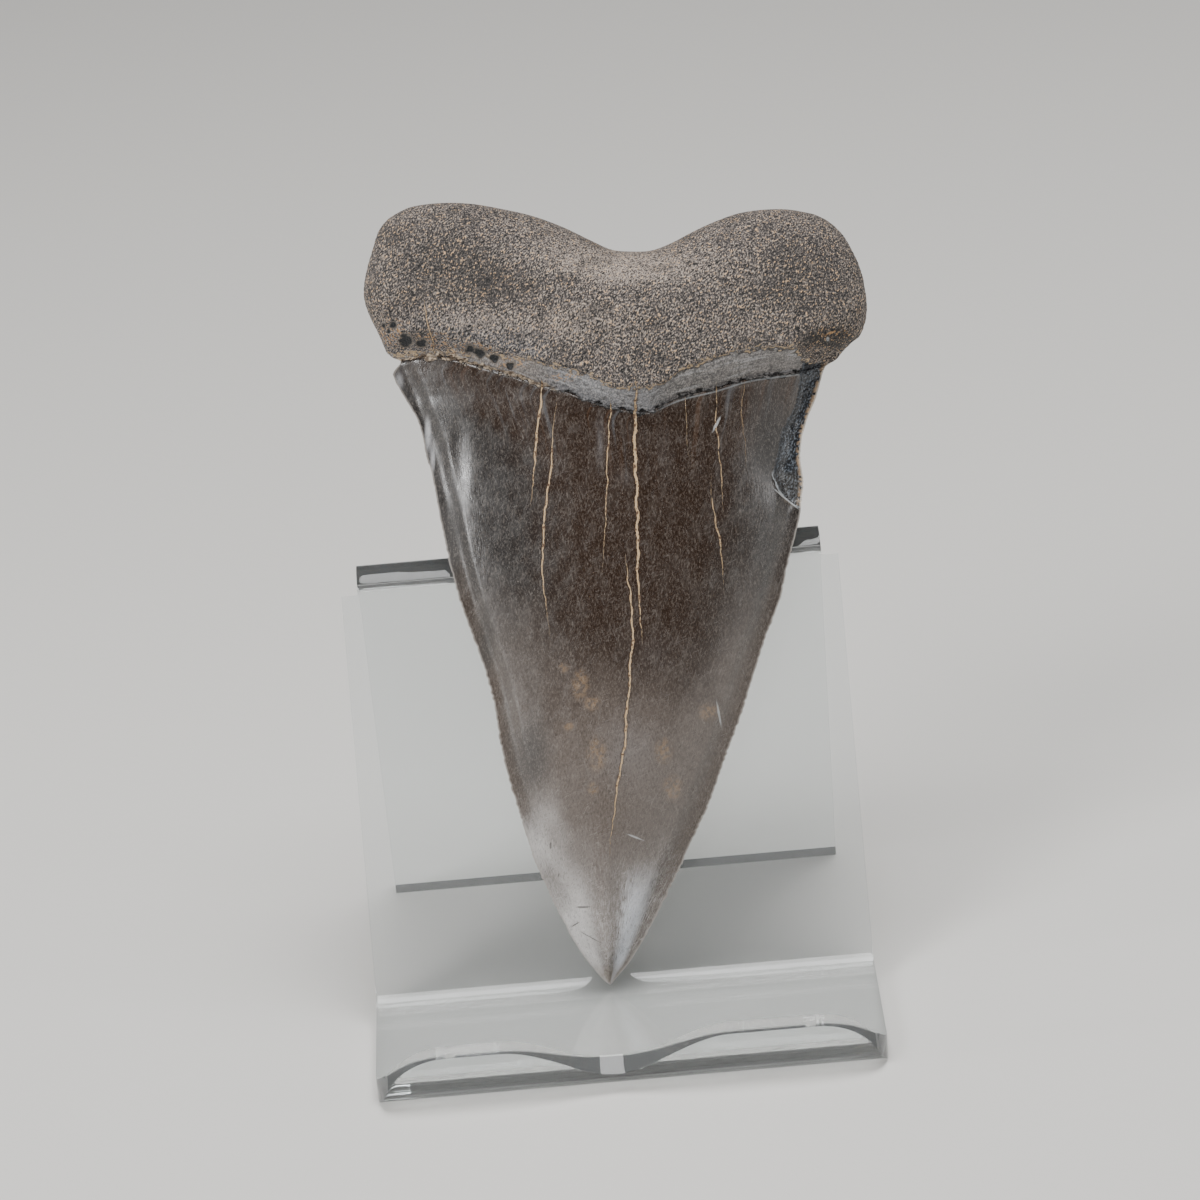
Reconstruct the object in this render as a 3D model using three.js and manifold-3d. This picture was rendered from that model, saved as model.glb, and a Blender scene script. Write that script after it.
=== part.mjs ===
// A fossil mako shark tooth leaning, tip down, on a small easel bent from one sheet of clear acrylic.
// Millimetres, +Z up. The front of the easel faces -Y and the broad face of the tooth looks up and forwards.
// The tooth is worked out in a frame of its own: u to the right, v from the tip up to the root, w out of its face.
import * as THREE from "three";
import Module from "manifold-3d";

const wasm = await Module();
wasm.setup();

// How the two pieces sit together.
const LEAN = THREE.MathUtils.degToRad(20); // of the panel and the tooth, back from upright
const ROLL = THREE.MathUtils.degToRad(5); // the tooth tips this far towards +X against the panel
const GAP = 0.3; // between the tooth and the acrylic
const TIP_LEFT_OF_MIDDLE = 1.3; // where the tip stands, from the middle of the easel

// The acrylic easel.
const SHEET = 2.0; // thickness
const PANEL_WIDTH = 43.5;
const LEG_WIDTH = 40.6; // the tongue that is bent over to make the rear leg
const PANEL_HEIGHT = 35.7; // from the tip of the tooth up to the shoulders, along the panel
const PANEL_SETBACK = 1.15; // front face of the panel behind the tip of the tooth, square to the panel
const SHELF_REACH = 18; // from the tip of the tooth forwards to the front of the lip
const LEG_SPLAY = THREE.MathUtils.degToRad(22); // of the rear leg, back from upright
const LIP_SPLAY = THREE.MathUtils.degToRad(8); // of the lip, forwards from upright
const LIP_HEIGHT = 4.95; // top of the lip above the table
const LIP_BEND = 2.4; // radii of the bends at the middle of the sheet
const SHELF_BEND = 3.4;
const TOP_BEND = 1.6;
const BEND_STEPS = 7;
const DIP_DEPTH = 2.7; // the hollow in the lip, under the tip of the tooth
const DIP_HALF_WIDTH = 9.8;
const LIP_CORNER = 1.6; // radius of the lip's two top corners
const SHELF_CORNER = 6; // radius of the two front corners, seen from above
const CORNER_STEPS = 6;
const LIP_STEPS = 40;

// The outline of the tooth: [height above the tip, sideways place] of each side.
const LEFT_SIDE = curveThrough([
  [0, 0], [0.45, -0.6], [2.2, -2.0], [7.4, -5.0], [14.3, -7.7], [21.3, -9.6], [24.8, -10.2],
  [28.3, -11.2], [35.2, -13.6], [42.2, -15.1], [47.4, -16.3], [51.6, -18.2], [53.0, -18.9],
  [54.2, -18.3], [55.2, -19.4], [56.5, -20.1], [58.0, -20.9], [60.3, -21.4], [63.4, -20.9], [66.2, -19.8],
]);
const RIGHT_SIDE = curveThrough([
  [0, 0], [0.45, 0.35], [2.2, 1.8], [5.7, 3.8], [9.1, 5.5], [16.1, 8.7], [23.1, 11.2], [30.0, 13.4],
  [33.5, 14.7], [37.0, 15.5], [40.5, 16.4], [43.9, 16.7], [45.7, 16.5], [49.2, 17.1], [52.3, 18.2],
  [53.8, 18.7], [55.2, 20.3], [56.5, 21.7], [59.2, 22.3], [61.9, 21.9], [64.1, 21.0], [66.2, 19.3],
]);
// Lines that run across the tooth: [sideways place, height above the tip].
const TOP_LINE = curveThrough([
  [-19.8, 66.2], [-18.1, 67.4], [-14.2, 68.05], [-9.4, 67.5], [-4.2, 65.9], [-0.6, 64.2], [1.9, 63.8],
  [4.0, 64.0], [7.1, 65.5], [11.4, 67.2], [14.9, 67.5], [17.5, 67.1], [19.3, 66.2],
]);
const LINGUAL_ENAMEL = curveThrough([
  [-18.3, 54.2], [-13.6, 54.3], [-8.6, 52.9], [-4.5, 51.5], [-1.0, 50.3], [2.0, 49.7], [4.2, 50.0],
  [9.1, 51.7], [16.4, 53.3], [18.7, 53.8],
]);
const LINGUAL_BAND = curveThrough([
  [-19.4, 55.2], [-12, 55.2], [-8, 54.4], [-4.2, 53.4], [-1.6, 52.8], [0.2, 51.9], [2.1, 51.7],
  [4.2, 51.9], [6.0, 53.1], [10.4, 54.7], [16.7, 55.3], [20.3, 55.2],
]);
const LABIAL_ENAMEL = curveThrough([[-18.3, 54.2], [-9, 54.0], [0.5, 54.9], [10, 53.9], [18.7, 53.8]]);
const LABIAL_BAND = curveThrough([[-19.4, 55.2], [-9, 54.9], [0.5, 55.7], [10, 54.8], [20.3, 55.2]]);
const SHOULDER_LEFT = 54.2; // heights at which those lines meet the two sides
const SHOULDER_RIGHT = 53.8;
const ROOT_FOOT = 55.2;
const LOBE_TOP = 66.2;

// How thick the tooth is: [height above the tip, half thickness].
const CROWN_FRONT = curveThrough([[0, 0], [1.2, 0.8], [3, 1.35], [8, 2.3], [18, 3.5], [30, 4.6], [42, 5.6], [54, 6.4]]);
const CROWN_BACK = curveThrough([[0, 0], [1.2, 0.5], [3, 0.75], [8, 1.1], [20, 1.5], [35, 1.7], [48, 1.9], [56, 2.3]]);
// [distance from the middle, thickness of the root in front of its edge plane] and the same behind it.
const ROOT_FRONT = curveThrough([[0, 8.0], [6, 7.4], [12, 6.2], [18, 5.4], [24, 5.0]]);
const ROOT_BACK = curveThrough([[0, 2.9], [7, 3.3], [14, 4.0], [24, 3.7]]);
const ROOT_MIDDLE = 1.2; // sideways place of the thickest part of the root
const ROOT_ROUNDING_FRONT = 5.0; // how far in from the outline the root is rounded
const ROOT_ROUNDING_BACK = 3.4;
const ROOT_THIN_TOP = 0.24; // share of its thickness that the root loses towards the notch
const CREST_CURVE = 0.9; // how far the plane of the cutting edges bows forwards at mid height
const BLADE_WIDTH = 2.2; // the thin margin along each cutting edge
const BLADE_SHARE = 0.45; // height of the thin margin, as a share of the full section
const ROOT_RISE = 2.4; // height over which the blade turns into the root
const BAND_DEPTH = 0.35; // the smooth band below the enamel line lies this much lower
// The flake missing from the right shoulder: [height, sideways place] of its inner edge.
const FLAKE_EDGE = curveThrough([
  [41.4, 16.7], [41.9, 15.7], [42.5, 15.0], [43.4, 14.4], [44.6, 14.0], [46.6, 14.4], [48.1, 14.8],
  [49.8, 15.6], [51.0, 16.0], [53.4, 16.4],
]);
const FLAKE_FOOT = 41.4;
const FLAKE_HEAD = 53.4;
const FLAKE_WALL = 0.5; // width of the broken step
const FLAKE_SHARE = 0.5; // share of the height that is gone

// The grid of the tooth's two faces.
const COLUMNS = 38;
const CROWN_ROWS = 27;
const BAND_STEPS = [0.14, 0.5, 0.86, 1];
const ROOT_ROWS = 12;
const OUTLINE_STEPS = 90;

function curveThrough(knots) {
  const slopes = knots.map((_, i) => {
    const before = knots[Math.max(i - 1, 0)];
    const after = knots[Math.min(i + 1, knots.length - 1)];
    return (after[1] - before[1]) / (after[0] - before[0]);
  });
  return (x) => {
    const at = THREE.MathUtils.clamp(x, knots[0][0], knots[knots.length - 1][0]);
    let i = 0;
    while (i < knots.length - 2 && at > knots[i + 1][0]) i++;
    const span = knots[i + 1][0] - knots[i][0];
    const t = (at - knots[i][0]) / span;
    const ease = t * t * (3 - 2 * t);
    return (
      knots[i][1] * (1 - ease) +
      knots[i + 1][1] * ease +
      span * t * (1 - t) * (slopes[i] * (1 - t) - slopes[i + 1] * t)
    );
  };
}

const lerp = THREE.MathUtils.lerp;
const smoothstep = THREE.MathUtils.smoothstep;

// Points along the outline, from the tip up one side, over the lobes and down the other.
function outlinePoints() {
  const points = [];
  for (let i = 0; i <= OUTLINE_STEPS; i++) {
    const v = (LOBE_TOP * i) / OUTLINE_STEPS;
    points.push(new THREE.Vector2(LEFT_SIDE(v), v));
  }
  for (let i = 1; i < OUTLINE_STEPS; i++) {
    const u = lerp(LEFT_SIDE(LOBE_TOP), RIGHT_SIDE(LOBE_TOP), i / OUTLINE_STEPS);
    points.push(new THREE.Vector2(u, TOP_LINE(u)));
  }
  for (let i = OUTLINE_STEPS; i >= 0; i--) {
    const v = (LOBE_TOP * i) / OUTLINE_STEPS;
    points.push(new THREE.Vector2(RIGHT_SIDE(v), v));
  }
  return points;
}

const OUTLINE = outlinePoints();

// Distance from a point of the face to the nearest point of the outline.
function distanceInside(u, v) {
  let nearest = Infinity;
  for (let i = 1; i < OUTLINE.length; i++) {
    const a = OUTLINE[i - 1];
    const b = OUTLINE[i];
    const along = new THREE.Vector2().subVectors(b, a);
    const to = new THREE.Vector2(u - a.x, v - a.y);
    const t = THREE.MathUtils.clamp(to.dot(along) / Math.max(along.lengthSq(), 1e-12), 0, 1);
    nearest = Math.min(nearest, to.sub(along.multiplyScalar(t)).length());
  }
  return nearest;
}

const roundedEdge = (share) => Math.sqrt(1 - (1 - Math.min(share, 1)) ** 2);

// The plane of the cutting edges bows forwards between the tip and the root.
const crestPlane = (v) => CREST_CURVE * Math.sin((Math.PI * Math.min(v, LOBE_TOP)) / LOBE_TOP);

// Height of the front or back face over the crest plane; across is 0 at one side and 1 at the other.
function faceHeight(front, u, v, across, bandShare) {
  const inside = distanceInside(u, v);
  const section = 1 - Math.abs(2 * across - 1) ** 2.2;
  const margin = lerp(BLADE_SHARE, 1, smoothstep(inside, 0.3, BLADE_WIDTH));
  const crown = (front ? CROWN_FRONT : CROWN_BACK)(v) * section * margin;

  const thinning = 1 - ROOT_THIN_TOP * smoothstep(v, 57, 68);
  const thickness = (front ? ROOT_FRONT : ROOT_BACK)(Math.abs(u - ROOT_MIDDLE)) * thinning;
  const root = thickness * roundedEdge(inside / (front ? ROOT_ROUNDING_FRONT : ROOT_ROUNDING_BACK));

  const enamel = (front ? LINGUAL_ENAMEL : LABIAL_ENAMEL)(u);
  let height = lerp(crown, root, smoothstep(v, enamel, enamel + ROOT_RISE));
  if (bandShare > 0 && bandShare < 1) height -= Math.min(BAND_DEPTH, height * 0.4);
  if (front && v > FLAKE_FOOT && v < FLAKE_HEAD) {
    height *= 1 - FLAKE_SHARE * smoothstep(u, FLAKE_EDGE(v), FLAKE_EDGE(v) + FLAKE_WALL);
  }
  return height;
}

// A line across the tooth between two heights of its sides, which follows a curve in between.
function lineAcross(leftHeight, rightHeight, curve) {
  return (across) => {
    const u = lerp(LEFT_SIDE(leftHeight), RIGHT_SIDE(rightHeight), across);
    return new THREE.Vector2(u, curve(u));
  };
}

// A point between two such lines, pulled at both ends onto the outline.
function pointBetween(lower, upper, share, across) {
  const point = lower(across).lerp(upper(across), share);
  for (const [end, side, weight] of [[0, LEFT_SIDE, 1 - across], [1, RIGHT_SIDE, across]]) {
    const straight = lower(end).lerp(upper(end), share);
    point.x += weight * (side(straight.y) - straight.x);
  }
  return point;
}

function faceLines(front) {
  return {
    tip: () => new THREE.Vector2(0, 0),
    enamel: lineAcross(SHOULDER_LEFT, SHOULDER_RIGHT, front ? LINGUAL_ENAMEL : LABIAL_ENAMEL),
    band: lineAcross(ROOT_FOOT, ROOT_FOOT, front ? LINGUAL_BAND : LABIAL_BAND),
    top: lineAcross(LOBE_TOP, LOBE_TOP, TOP_LINE),
  };
}

// Every row above the tip, as the pair of lines that it lies between and its share of the way.
function toothRows() {
  const rows = [];
  for (let i = 1; i <= CROWN_ROWS; i++) rows.push({ from: "tip", to: "enamel", share: (i / CROWN_ROWS) ** 1.25 });
  for (const share of BAND_STEPS) rows.push({ from: "enamel", to: "band", share });
  for (let i = 1; i <= ROOT_ROWS; i++) {
    rows.push({ from: "band", to: "top", share: Math.sin(((Math.PI / 2) * i) / ROOT_ROWS) });
  }
  return rows;
}

function toothGeometry() {
  const rows = toothRows();
  const positions = [0, 0, 0];
  const faces = [true, false].map((front) => {
    const lines = faceLines(front);
    return rows.map((row, j) => {
      const line = [];
      for (let i = 0; i <= COLUMNS; i++) {
        const across = 0.5 - 0.5 * Math.cos((Math.PI * i) / COLUMNS);
        const onEdge = i === 0 || i === COLUMNS || j === rows.length - 1;
        const { x: u, y: v } = pointBetween(lines[row.from], lines[row.to], row.share, across);
        const bandShare = row.from === "enamel" ? row.share : 0;
        const height = onEdge ? 0 : faceHeight(front, u, v, across, bandShare);
        positions.push(u, v, crestPlane(v) + (front ? height : -height));
        line.push(positions.length / 3 - 1);
      }
      return line;
    });
  });
  // The back face shares the front face's points all the way round the outline.
  const [front, back] = faces;
  rows.forEach((_, j) => {
    for (let i = 0; i <= COLUMNS; i++) {
      if (i === 0 || i === COLUMNS || j === rows.length - 1) back[j][i] = front[j][i];
    }
  });
  const index = [];
  for (const [face, turned] of [[front, false], [back, true]]) {
    const add = (a, b, c) => index.push(...(turned ? [a, c, b] : [a, b, c]));
    for (let i = 0; i < COLUMNS; i++) {
      add(0, face[0][i + 1], face[0][i]);
      for (let j = 0; j < rows.length - 1; j++) {
        add(face[j][i], face[j][i + 1], face[j + 1][i + 1]);
        add(face[j][i], face[j + 1][i + 1], face[j + 1][i]);
      }
    }
  }
  return usedPointsOnly(positions, index);
}

function usedPointsOnly(positions, index) {
  const kept = new Map();
  const packed = [];
  const renumbered = index.map((old) => {
    if (!kept.has(old)) {
      kept.set(old, packed.length / 3);
      packed.push(...positions.slice(old * 3, old * 3 + 3));
    }
    return kept.get(old);
  });
  const geometry = new THREE.BufferGeometry();
  geometry.setAttribute("position", new THREE.Float32BufferAttribute(packed, 3));
  geometry.setIndex(renumbered);
  geometry.computeVertexNormals();
  return geometry;
}

// A bent sheet in side view: straight runs between corners, with an arc of the given radius at each corner.
function bentPath(corners, radii) {
  const path = [corners[0]];
  for (let i = 1; i < corners.length - 1; i++) {
    const back = corners[i - 1].clone().sub(corners[i]).normalize();
    const on = corners[i + 1].clone().sub(corners[i]).normalize();
    const half = Math.acos(THREE.MathUtils.clamp(back.dot(on), -1, 1)) / 2;
    const centre = corners[i].clone().add(
      back.clone().add(on).normalize().multiplyScalar(radii[i - 1] / Math.sin(half)),
    );
    const reach = radii[i - 1] / Math.tan(half);
    const start = corners[i].clone().addScaledVector(back, reach).sub(centre);
    const end = corners[i].clone().addScaledVector(on, reach).sub(centre);
    const turn = Math.atan2(start.cross(end), start.dot(end));
    for (let k = 0; k <= BEND_STEPS; k++) {
      path.push(start.clone().rotateAround(new THREE.Vector2(), (turn * k) / BEND_STEPS).add(centre));
    }
  }
  path.push(corners[corners.length - 1]);
  return path;
}

// The closed side view of the sheet along such a path.
function sheetShape(path) {
  const sides = [1, -1].map((side) =>
    path.map((point, i) => {
      const along = path[Math.min(i + 1, path.length - 1)].clone().sub(path[Math.max(i - 1, 0)]).normalize();
      return new THREE.Vector2(point.x - (side * along.y * SHEET) / 2, point.y + (side * along.x * SHEET) / 2);
    }),
  );
  return new THREE.Shape([...sides[0], ...sides[1].reverse()]);
}

// A side view in Y and Z, drawn out along X and centred on it.
function alongX(shape, width) {
  return new THREE.ExtrudeGeometry(shape, { depth: width, bevelEnabled: false })
    .translate(0, 0, -width / 2)
    .applyMatrix4(
      new THREE.Matrix4().makeBasis(
        new THREE.Vector3(0, 1, 0),
        new THREE.Vector3(0, 0, 1),
        new THREE.Vector3(1, 0, 0),
      ),
    );
}

// A front view in X and Z, drawn out along Y from near to far.
function alongY(shape, near, far) {
  return new THREE.ExtrudeGeometry(shape, { depth: far - near, bevelEnabled: false })
    .rotateX(Math.PI / 2)
    .translate(0, far, 0);
}

function solidOf(geometry) {
  const flat = geometry.index ? geometry.toNonIndexed() : geometry;
  const places = flat.getAttribute("position").array;
  const numbers = new Map();
  const vertProperties = [];
  const triVerts = [];
  for (let i = 0; i < places.length; i += 3) {
    const key = [places[i], places[i + 1], places[i + 2]].map((x) => x.toFixed(4)).join();
    if (!numbers.has(key)) {
      numbers.set(key, vertProperties.length / 3);
      vertProperties.push(places[i], places[i + 1], places[i + 2]);
    }
    triVerts.push(numbers.get(key));
  }
  return new wasm.Manifold(
    new wasm.Mesh({
      numProp: 3,
      vertProperties: new Float32Array(vertProperties),
      triVerts: new Uint32Array(triVerts),
    }),
  );
}

function geometryOf(solid) {
  const mesh = solid.getMesh();
  const geometry = new THREE.BufferGeometry();
  geometry.setAttribute("position", new THREE.BufferAttribute(mesh.vertProperties, 3));
  geometry.setIndex(new THREE.BufferAttribute(mesh.triVerts, 1));
  return geometry;
}

// Height of the lip's top edge across the easel: rounded ends and a shallow dip under the tip of the tooth.
function lipTop(x) {
  const fromEnd = PANEL_WIDTH / 2 - SHELF_CORNER / 3 - Math.abs(x);
  const corner = LIP_CORNER * (1 - roundedEdge(Math.max(fromEnd, 0) / LIP_CORNER));
  const fromDip = Math.min(Math.abs(x + TIP_LEFT_OF_MIDDLE) / DIP_HALF_WIDTH, 1);
  return LIP_HEIGHT - corner - DIP_DEPTH * Math.cos((Math.PI / 2) * fromDip) ** 2;
}

// Everything above the lip's top edge, to be cut away.
function lipCutter() {
  const half = PANEL_WIDTH / 2 + 1;
  const outline = [new THREE.Vector2(half, LIP_HEIGHT + 4), new THREE.Vector2(-half, LIP_HEIGHT + 4)];
  for (let i = 0; i <= LIP_STEPS; i++) {
    const x = lerp(-half, half, i / LIP_STEPS);
    outline.push(new THREE.Vector2(x, lipTop(x)));
  }
  const shelfMiddle = -SHELF_REACH / 2;
  return alongY(new THREE.Shape(outline), -SHELF_REACH - 3, shelfMiddle);
}

// Everything inside the outline of the shelf and panel seen from above, with its two rounded front corners.
function planKeeper() {
  const half = PANEL_WIDTH / 2;
  const outline = new THREE.Shape();
  outline.moveTo(half, 60);
  outline.lineTo(-half, 60);
  outline.lineTo(-half, SHELF_CORNER - SHELF_REACH);
  outline.absarc(SHELF_CORNER - half, SHELF_CORNER - SHELF_REACH, SHELF_CORNER, Math.PI, 1.5 * Math.PI);
  outline.absarc(half - SHELF_CORNER, SHELF_CORNER - SHELF_REACH, SHELF_CORNER, 1.5 * Math.PI, 2 * Math.PI);
  const options = { depth: 80, bevelEnabled: false, curveSegments: CORNER_STEPS };
  return new THREE.ExtrudeGeometry(outline, options).translate(0, 0, -10);
}

// Corners of the sheet's middle line in side view, with the tip of the tooth at y = 0.
function easelCorners() {
  const up = new THREE.Vector2(Math.sin(LEAN), Math.cos(LEAN));
  const back = new THREE.Vector2(Math.cos(LEAN), -Math.sin(LEAN));
  const tip = new THREE.Vector2(0, SHEET + GAP);
  const behindTip = tip.clone().addScaledVector(back, PANEL_SETBACK + SHEET / 2);
  const shelfCorner = behindTip.clone().addScaledVector(up, (SHEET / 2 - behindTip.y) / up.y);
  const shoulder = behindTip.clone().addScaledVector(up, PANEL_HEIGHT);
  const topBendHalf = (LEAN + LEG_SPLAY) / 2;
  const topCorner = shoulder.clone().addScaledVector(up, TOP_BEND / Math.tan(topBendHalf));
  const foot = new THREE.Vector2(topCorner.x + topCorner.y * Math.tan(LEG_SPLAY), 0);
  const lipCorner = new THREE.Vector2(-SHELF_REACH + SHEET / 2, SHEET / 2);
  const lipEnd = new THREE.Vector2(lipCorner.x - 6 * Math.tan(LIP_SPLAY), lipCorner.y + 6);
  return { lipEnd, lipCorner, shelfCorner, shoulder, topCorner, foot };
}

function easelGeometry() {
  const { lipEnd, lipCorner, shelfCorner, shoulder, topCorner, foot } = easelCorners();
  const front = bentPath([lipEnd, lipCorner, shelfCorner, shoulder], [LIP_BEND, SHELF_BEND]);
  const belowShoulder = shoulder.clone().lerp(shelfCorner, 0.05);
  const belowFoot = foot.clone().add(foot.clone().sub(topCorner).setLength(SHEET));
  const rear = bentPath([belowShoulder, topCorner, belowFoot], [TOP_BEND]);
  const table = new THREE.Shape([
    new THREE.Vector2(-60, -10), new THREE.Vector2(60, -10), new THREE.Vector2(60, 0), new THREE.Vector2(-60, 0),
  ]);
  const solid = solidOf(alongX(sheetShape(front), PANEL_WIDTH))
    .subtract(solidOf(lipCutter()))
    .intersect(solidOf(planKeeper()))
    .add(solidOf(alongX(sheetShape(rear), LEG_WIDTH)))
    .subtract(solidOf(alongX(table, PANEL_WIDTH * 2)));
  return geometryOf(solid);
}

const fossil = new THREE.MeshStandardMaterial({ color: 0x5b5149, roughness: 0.45, metalness: 0 });
const acrylic = new THREE.MeshStandardMaterial({
  color: 0xeef3f4, roughness: 0.05, metalness: 0, transparent: true, opacity: 0.3,
});

const tooth = new THREE.Mesh(toothGeometry(), fossil);
tooth.name = "tooth";
tooth.rotation.z = -ROLL;

const leaning = new THREE.Group();
leaning.rotation.x = Math.PI / 2 - LEAN;
leaning.position.set(-TIP_LEFT_OF_MIDDLE, 0, SHEET + GAP);
leaning.add(tooth);

const easel = new THREE.Mesh(easelGeometry(), acrylic);
easel.name = "easel";

const displayed = new THREE.Group();
displayed.add(leaning, easel);

// The origin is at the middle of the whole, on the table.
const box = new THREE.Box3().setFromObject(displayed, true);
const middle = box.getCenter(new THREE.Vector3());
displayed.position.set(-middle.x, -middle.y, -box.min.z);

export default displayed;
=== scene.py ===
# A fossil mako shark tooth that leans, tip down, on a small easel bent from clear acrylic sheet.
# The tooth is drawn in millimetres in a frame of its own: u to its right, v from the tip up to the
# root, and w out of its broad front face. It is then leaned back on the easel, in metres.

import functools
import math

import bpy
import numpy as np
from bpy.props import FloatProperty, FloatVectorProperty, IntProperty, PointerProperty
from bpy.types import Operator, Panel, PropertyGroup
from mathutils import Matrix, Vector, noise


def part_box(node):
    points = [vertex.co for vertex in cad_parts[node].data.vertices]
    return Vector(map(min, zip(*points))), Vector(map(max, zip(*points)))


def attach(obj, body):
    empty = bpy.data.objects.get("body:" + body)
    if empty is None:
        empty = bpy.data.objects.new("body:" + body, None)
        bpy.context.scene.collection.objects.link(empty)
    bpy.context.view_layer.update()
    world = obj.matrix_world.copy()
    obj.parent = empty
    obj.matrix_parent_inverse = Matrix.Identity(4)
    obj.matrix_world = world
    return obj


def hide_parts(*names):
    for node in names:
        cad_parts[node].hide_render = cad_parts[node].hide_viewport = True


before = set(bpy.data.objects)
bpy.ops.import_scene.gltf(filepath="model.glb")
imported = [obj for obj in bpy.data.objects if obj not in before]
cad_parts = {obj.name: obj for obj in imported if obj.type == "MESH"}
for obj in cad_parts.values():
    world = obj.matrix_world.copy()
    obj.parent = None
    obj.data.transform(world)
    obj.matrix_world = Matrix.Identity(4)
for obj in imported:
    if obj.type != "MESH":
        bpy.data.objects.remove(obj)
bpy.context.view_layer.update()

bl_info = {
    "name": "Fossil Tooth on an Easel",
    "version": (1, 0, 0),
    "blender": (4, 5, 0),
    "location": "View3D > Sidebar > Fossil",
    "description": "Makes a fossil mako tooth, its clear acrylic easel and a plain studio",
    "category": "Add Mesh",
}

MM = 0.001

# The two sides of the tooth: (height above the tip, sideways place).
LEFT_SIDE = (
    (0, 0), (0.43, -0.57), (2.17, -2.04), (3.9, -3.2), (7.4, -5.0), (10.9, -6.6), (14.3, -7.7),
    (17.8, -8.8), (21.3, -9.6), (24.8, -10.2), (28.3, -11.2), (31.7, -12.5), (35.2, -13.6),
    (38.7, -14.4), (42.2, -15.1), (44.9, -15.6), (45.6, -15.9), (48.4, -16.5), (49.6, -17.0),
    (51.6, -18.2), (53.0, -18.9), (53.5, -18.75), (54.2, -18.2), (54.6, -19.0), (55.1, -19.5),
    (55.8, -19.8), (56.5, -20.1), (57.9, -20.8), (59.2, -21.3), (60.5, -21.45), (62.2, -21.2),
    (63.6, -20.8), (65.0, -20.4), (65.7, -20.1), (66.2, -19.75),
)
RIGHT_SIDE = (
    (0, 0), (0.43, 0.35), (2.2, 1.8), (5.7, 3.8), (9.1, 5.5), (12.6, 7.1), (16.1, 8.7), (19.6, 9.9),
    (23.1, 11.2), (26.5, 12.3), (30.0, 13.4), (33.5, 14.7), (37.0, 15.5), (40.5, 16.4), (42.2, 16.6),
    (43.9, 16.75), (45.7, 16.5), (47.4, 16.6), (49.2, 17.1), (50.9, 17.8), (52.3, 18.2), (53.8, 18.7),
    (54.4, 19.6), (55.1, 20.2), (55.8, 20.9), (56.5, 21.7), (57.9, 22.2), (59.2, 22.3), (61.5, 21.95),
    (62.9, 21.5), (64.3, 20.8), (65.2, 20.25), (65.8, 19.7), (66.2, 19.2),
)
# Lines across the tooth: (sideways place, height above the tip).
TOP_LINE = (
    (-19.75, 66.2), (-19.3, 66.65), (-18.7, 67.05), (-17.6, 67.6), (-16.2, 67.9), (-14.2, 68.05),
    (-12.0, 67.95), (-9.4, 67.5), (-6.8, 66.9), (-4.2, 65.95), (-1.6, 64.7), (0.1, 63.95), (1.9, 63.8),
    (3.6, 63.9), (5.3, 64.55), (7.1, 65.5), (8.8, 66.3), (11.4, 67.2), (14.9, 67.5), (17.5, 67.1),
    (18.4, 66.75), (18.9, 66.45), (19.2, 66.2),
)
FRONT_ENAMEL = (
    (-18.2, 54.2), (-16.2, 54.5), (-13.6, 54.3), (-11.1, 53.6), (-8.6, 52.9), (-5.9, 51.9), (-4.5, 51.6),
    (-2.6, 50.9), (-1.0, 50.3), (0.9, 49.85), (3.4, 49.6), (4.0, 50.0), (6.0, 50.9), (9.1, 51.7),
    (12.0, 52.6), (16.4, 53.3), (18.7, 53.8),
)
FRONT_BAND = (
    (-19.5, 55.2), (-16.0, 55.5), (-12.0, 55.2), (-8.0, 54.4), (-4.2, 53.4), (-2.6, 53.0), (-1.6, 52.7),
    (-0.4, 51.9), (2.1, 51.7), (4.2, 51.9), (6.0, 53.1), (7.9, 54.0), (10.4, 54.7), (12.9, 55.2),
    (16.7, 55.3), (20.3, 55.2),
)
BACK_ENAMEL = ((-18.2, 54.2), (-9, 54.0), (0.5, 54.9), (10, 53.9), (18.7, 53.8))
BACK_BAND = ((-19.5, 55.2), (-9, 54.9), (0.5, 55.7), (10, 54.8), (20.3, 55.2))
ENAMEL_ENDS = (54.2, 53.8)  # heights at which these lines meet the left and the right side
BAND_ENDS = (55.2, 55.2)
TOP_ENDS = (66.2, 66.2)

# Half thickness of the crown: (height above the tip, thickness).
CROWN_FRONT = ((0, 0), (1.2, 0.8), (3, 1.35), (8, 2.3), (18, 3.5), (30, 4.6), (42, 5.6), (54, 6.4))
CROWN_BACK = ((0, 0), (1.2, 0.5), (3, 0.75), (8, 1.1), (20, 1.5), (35, 1.7), (48, 1.9), (56, 2.3))
# Thickness of the root on either side of its edge plane: (distance from its middle, thickness).
ROOT_FRONT = ((0, 8.0), (6, 7.4), (12, 6.2), (18, 5.4), (24, 5.0))
ROOT_BACK = ((0, 2.9), (7, 3.3), (14, 4.0), (24, 3.7))
ROOT_MIDDLE = 1.2
ROOT_ROUNDING = {True: 5.0, False: 3.4}  # front and back
ROOT_RISE = 2.4  # above the edge of the enamel, where the root has its full thickness
ROOT_THINNING = (0.24, 57, 68)  # the share that goes, and the heights between which it goes
ROOT_SWELLING = (2.6, 1.5)  # size of the low swellings, and how far from the outline they are full
SECTION_POWER = 2.2  # of the cross section of the crown, where it is rounded
SIDE_SOFTENING = (3, 9)  # height over which a side is evened out, and in how many steps
RIDGE = (0.004, 1.12, 0.063)  # softness and slope of the ridge at the tip, and the softening at its top
RIDGE_HEIGHTS = (5, 24)  # the ridged tip turns into the rounded crown between these
BLADE_WIDTH = 2.2
BLADE_START = 0.3
BLADE_SHARE = 0.45
GROOVE = (0.1, 1.4, 0.8)  # along both edges: depth, distance from the edge, half width
GROOVE_HEIGHTS = ((3, 9), (44, 36))  # it fades out between these at the tip and at the root
BAND_DEPTH = 0.35
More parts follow.
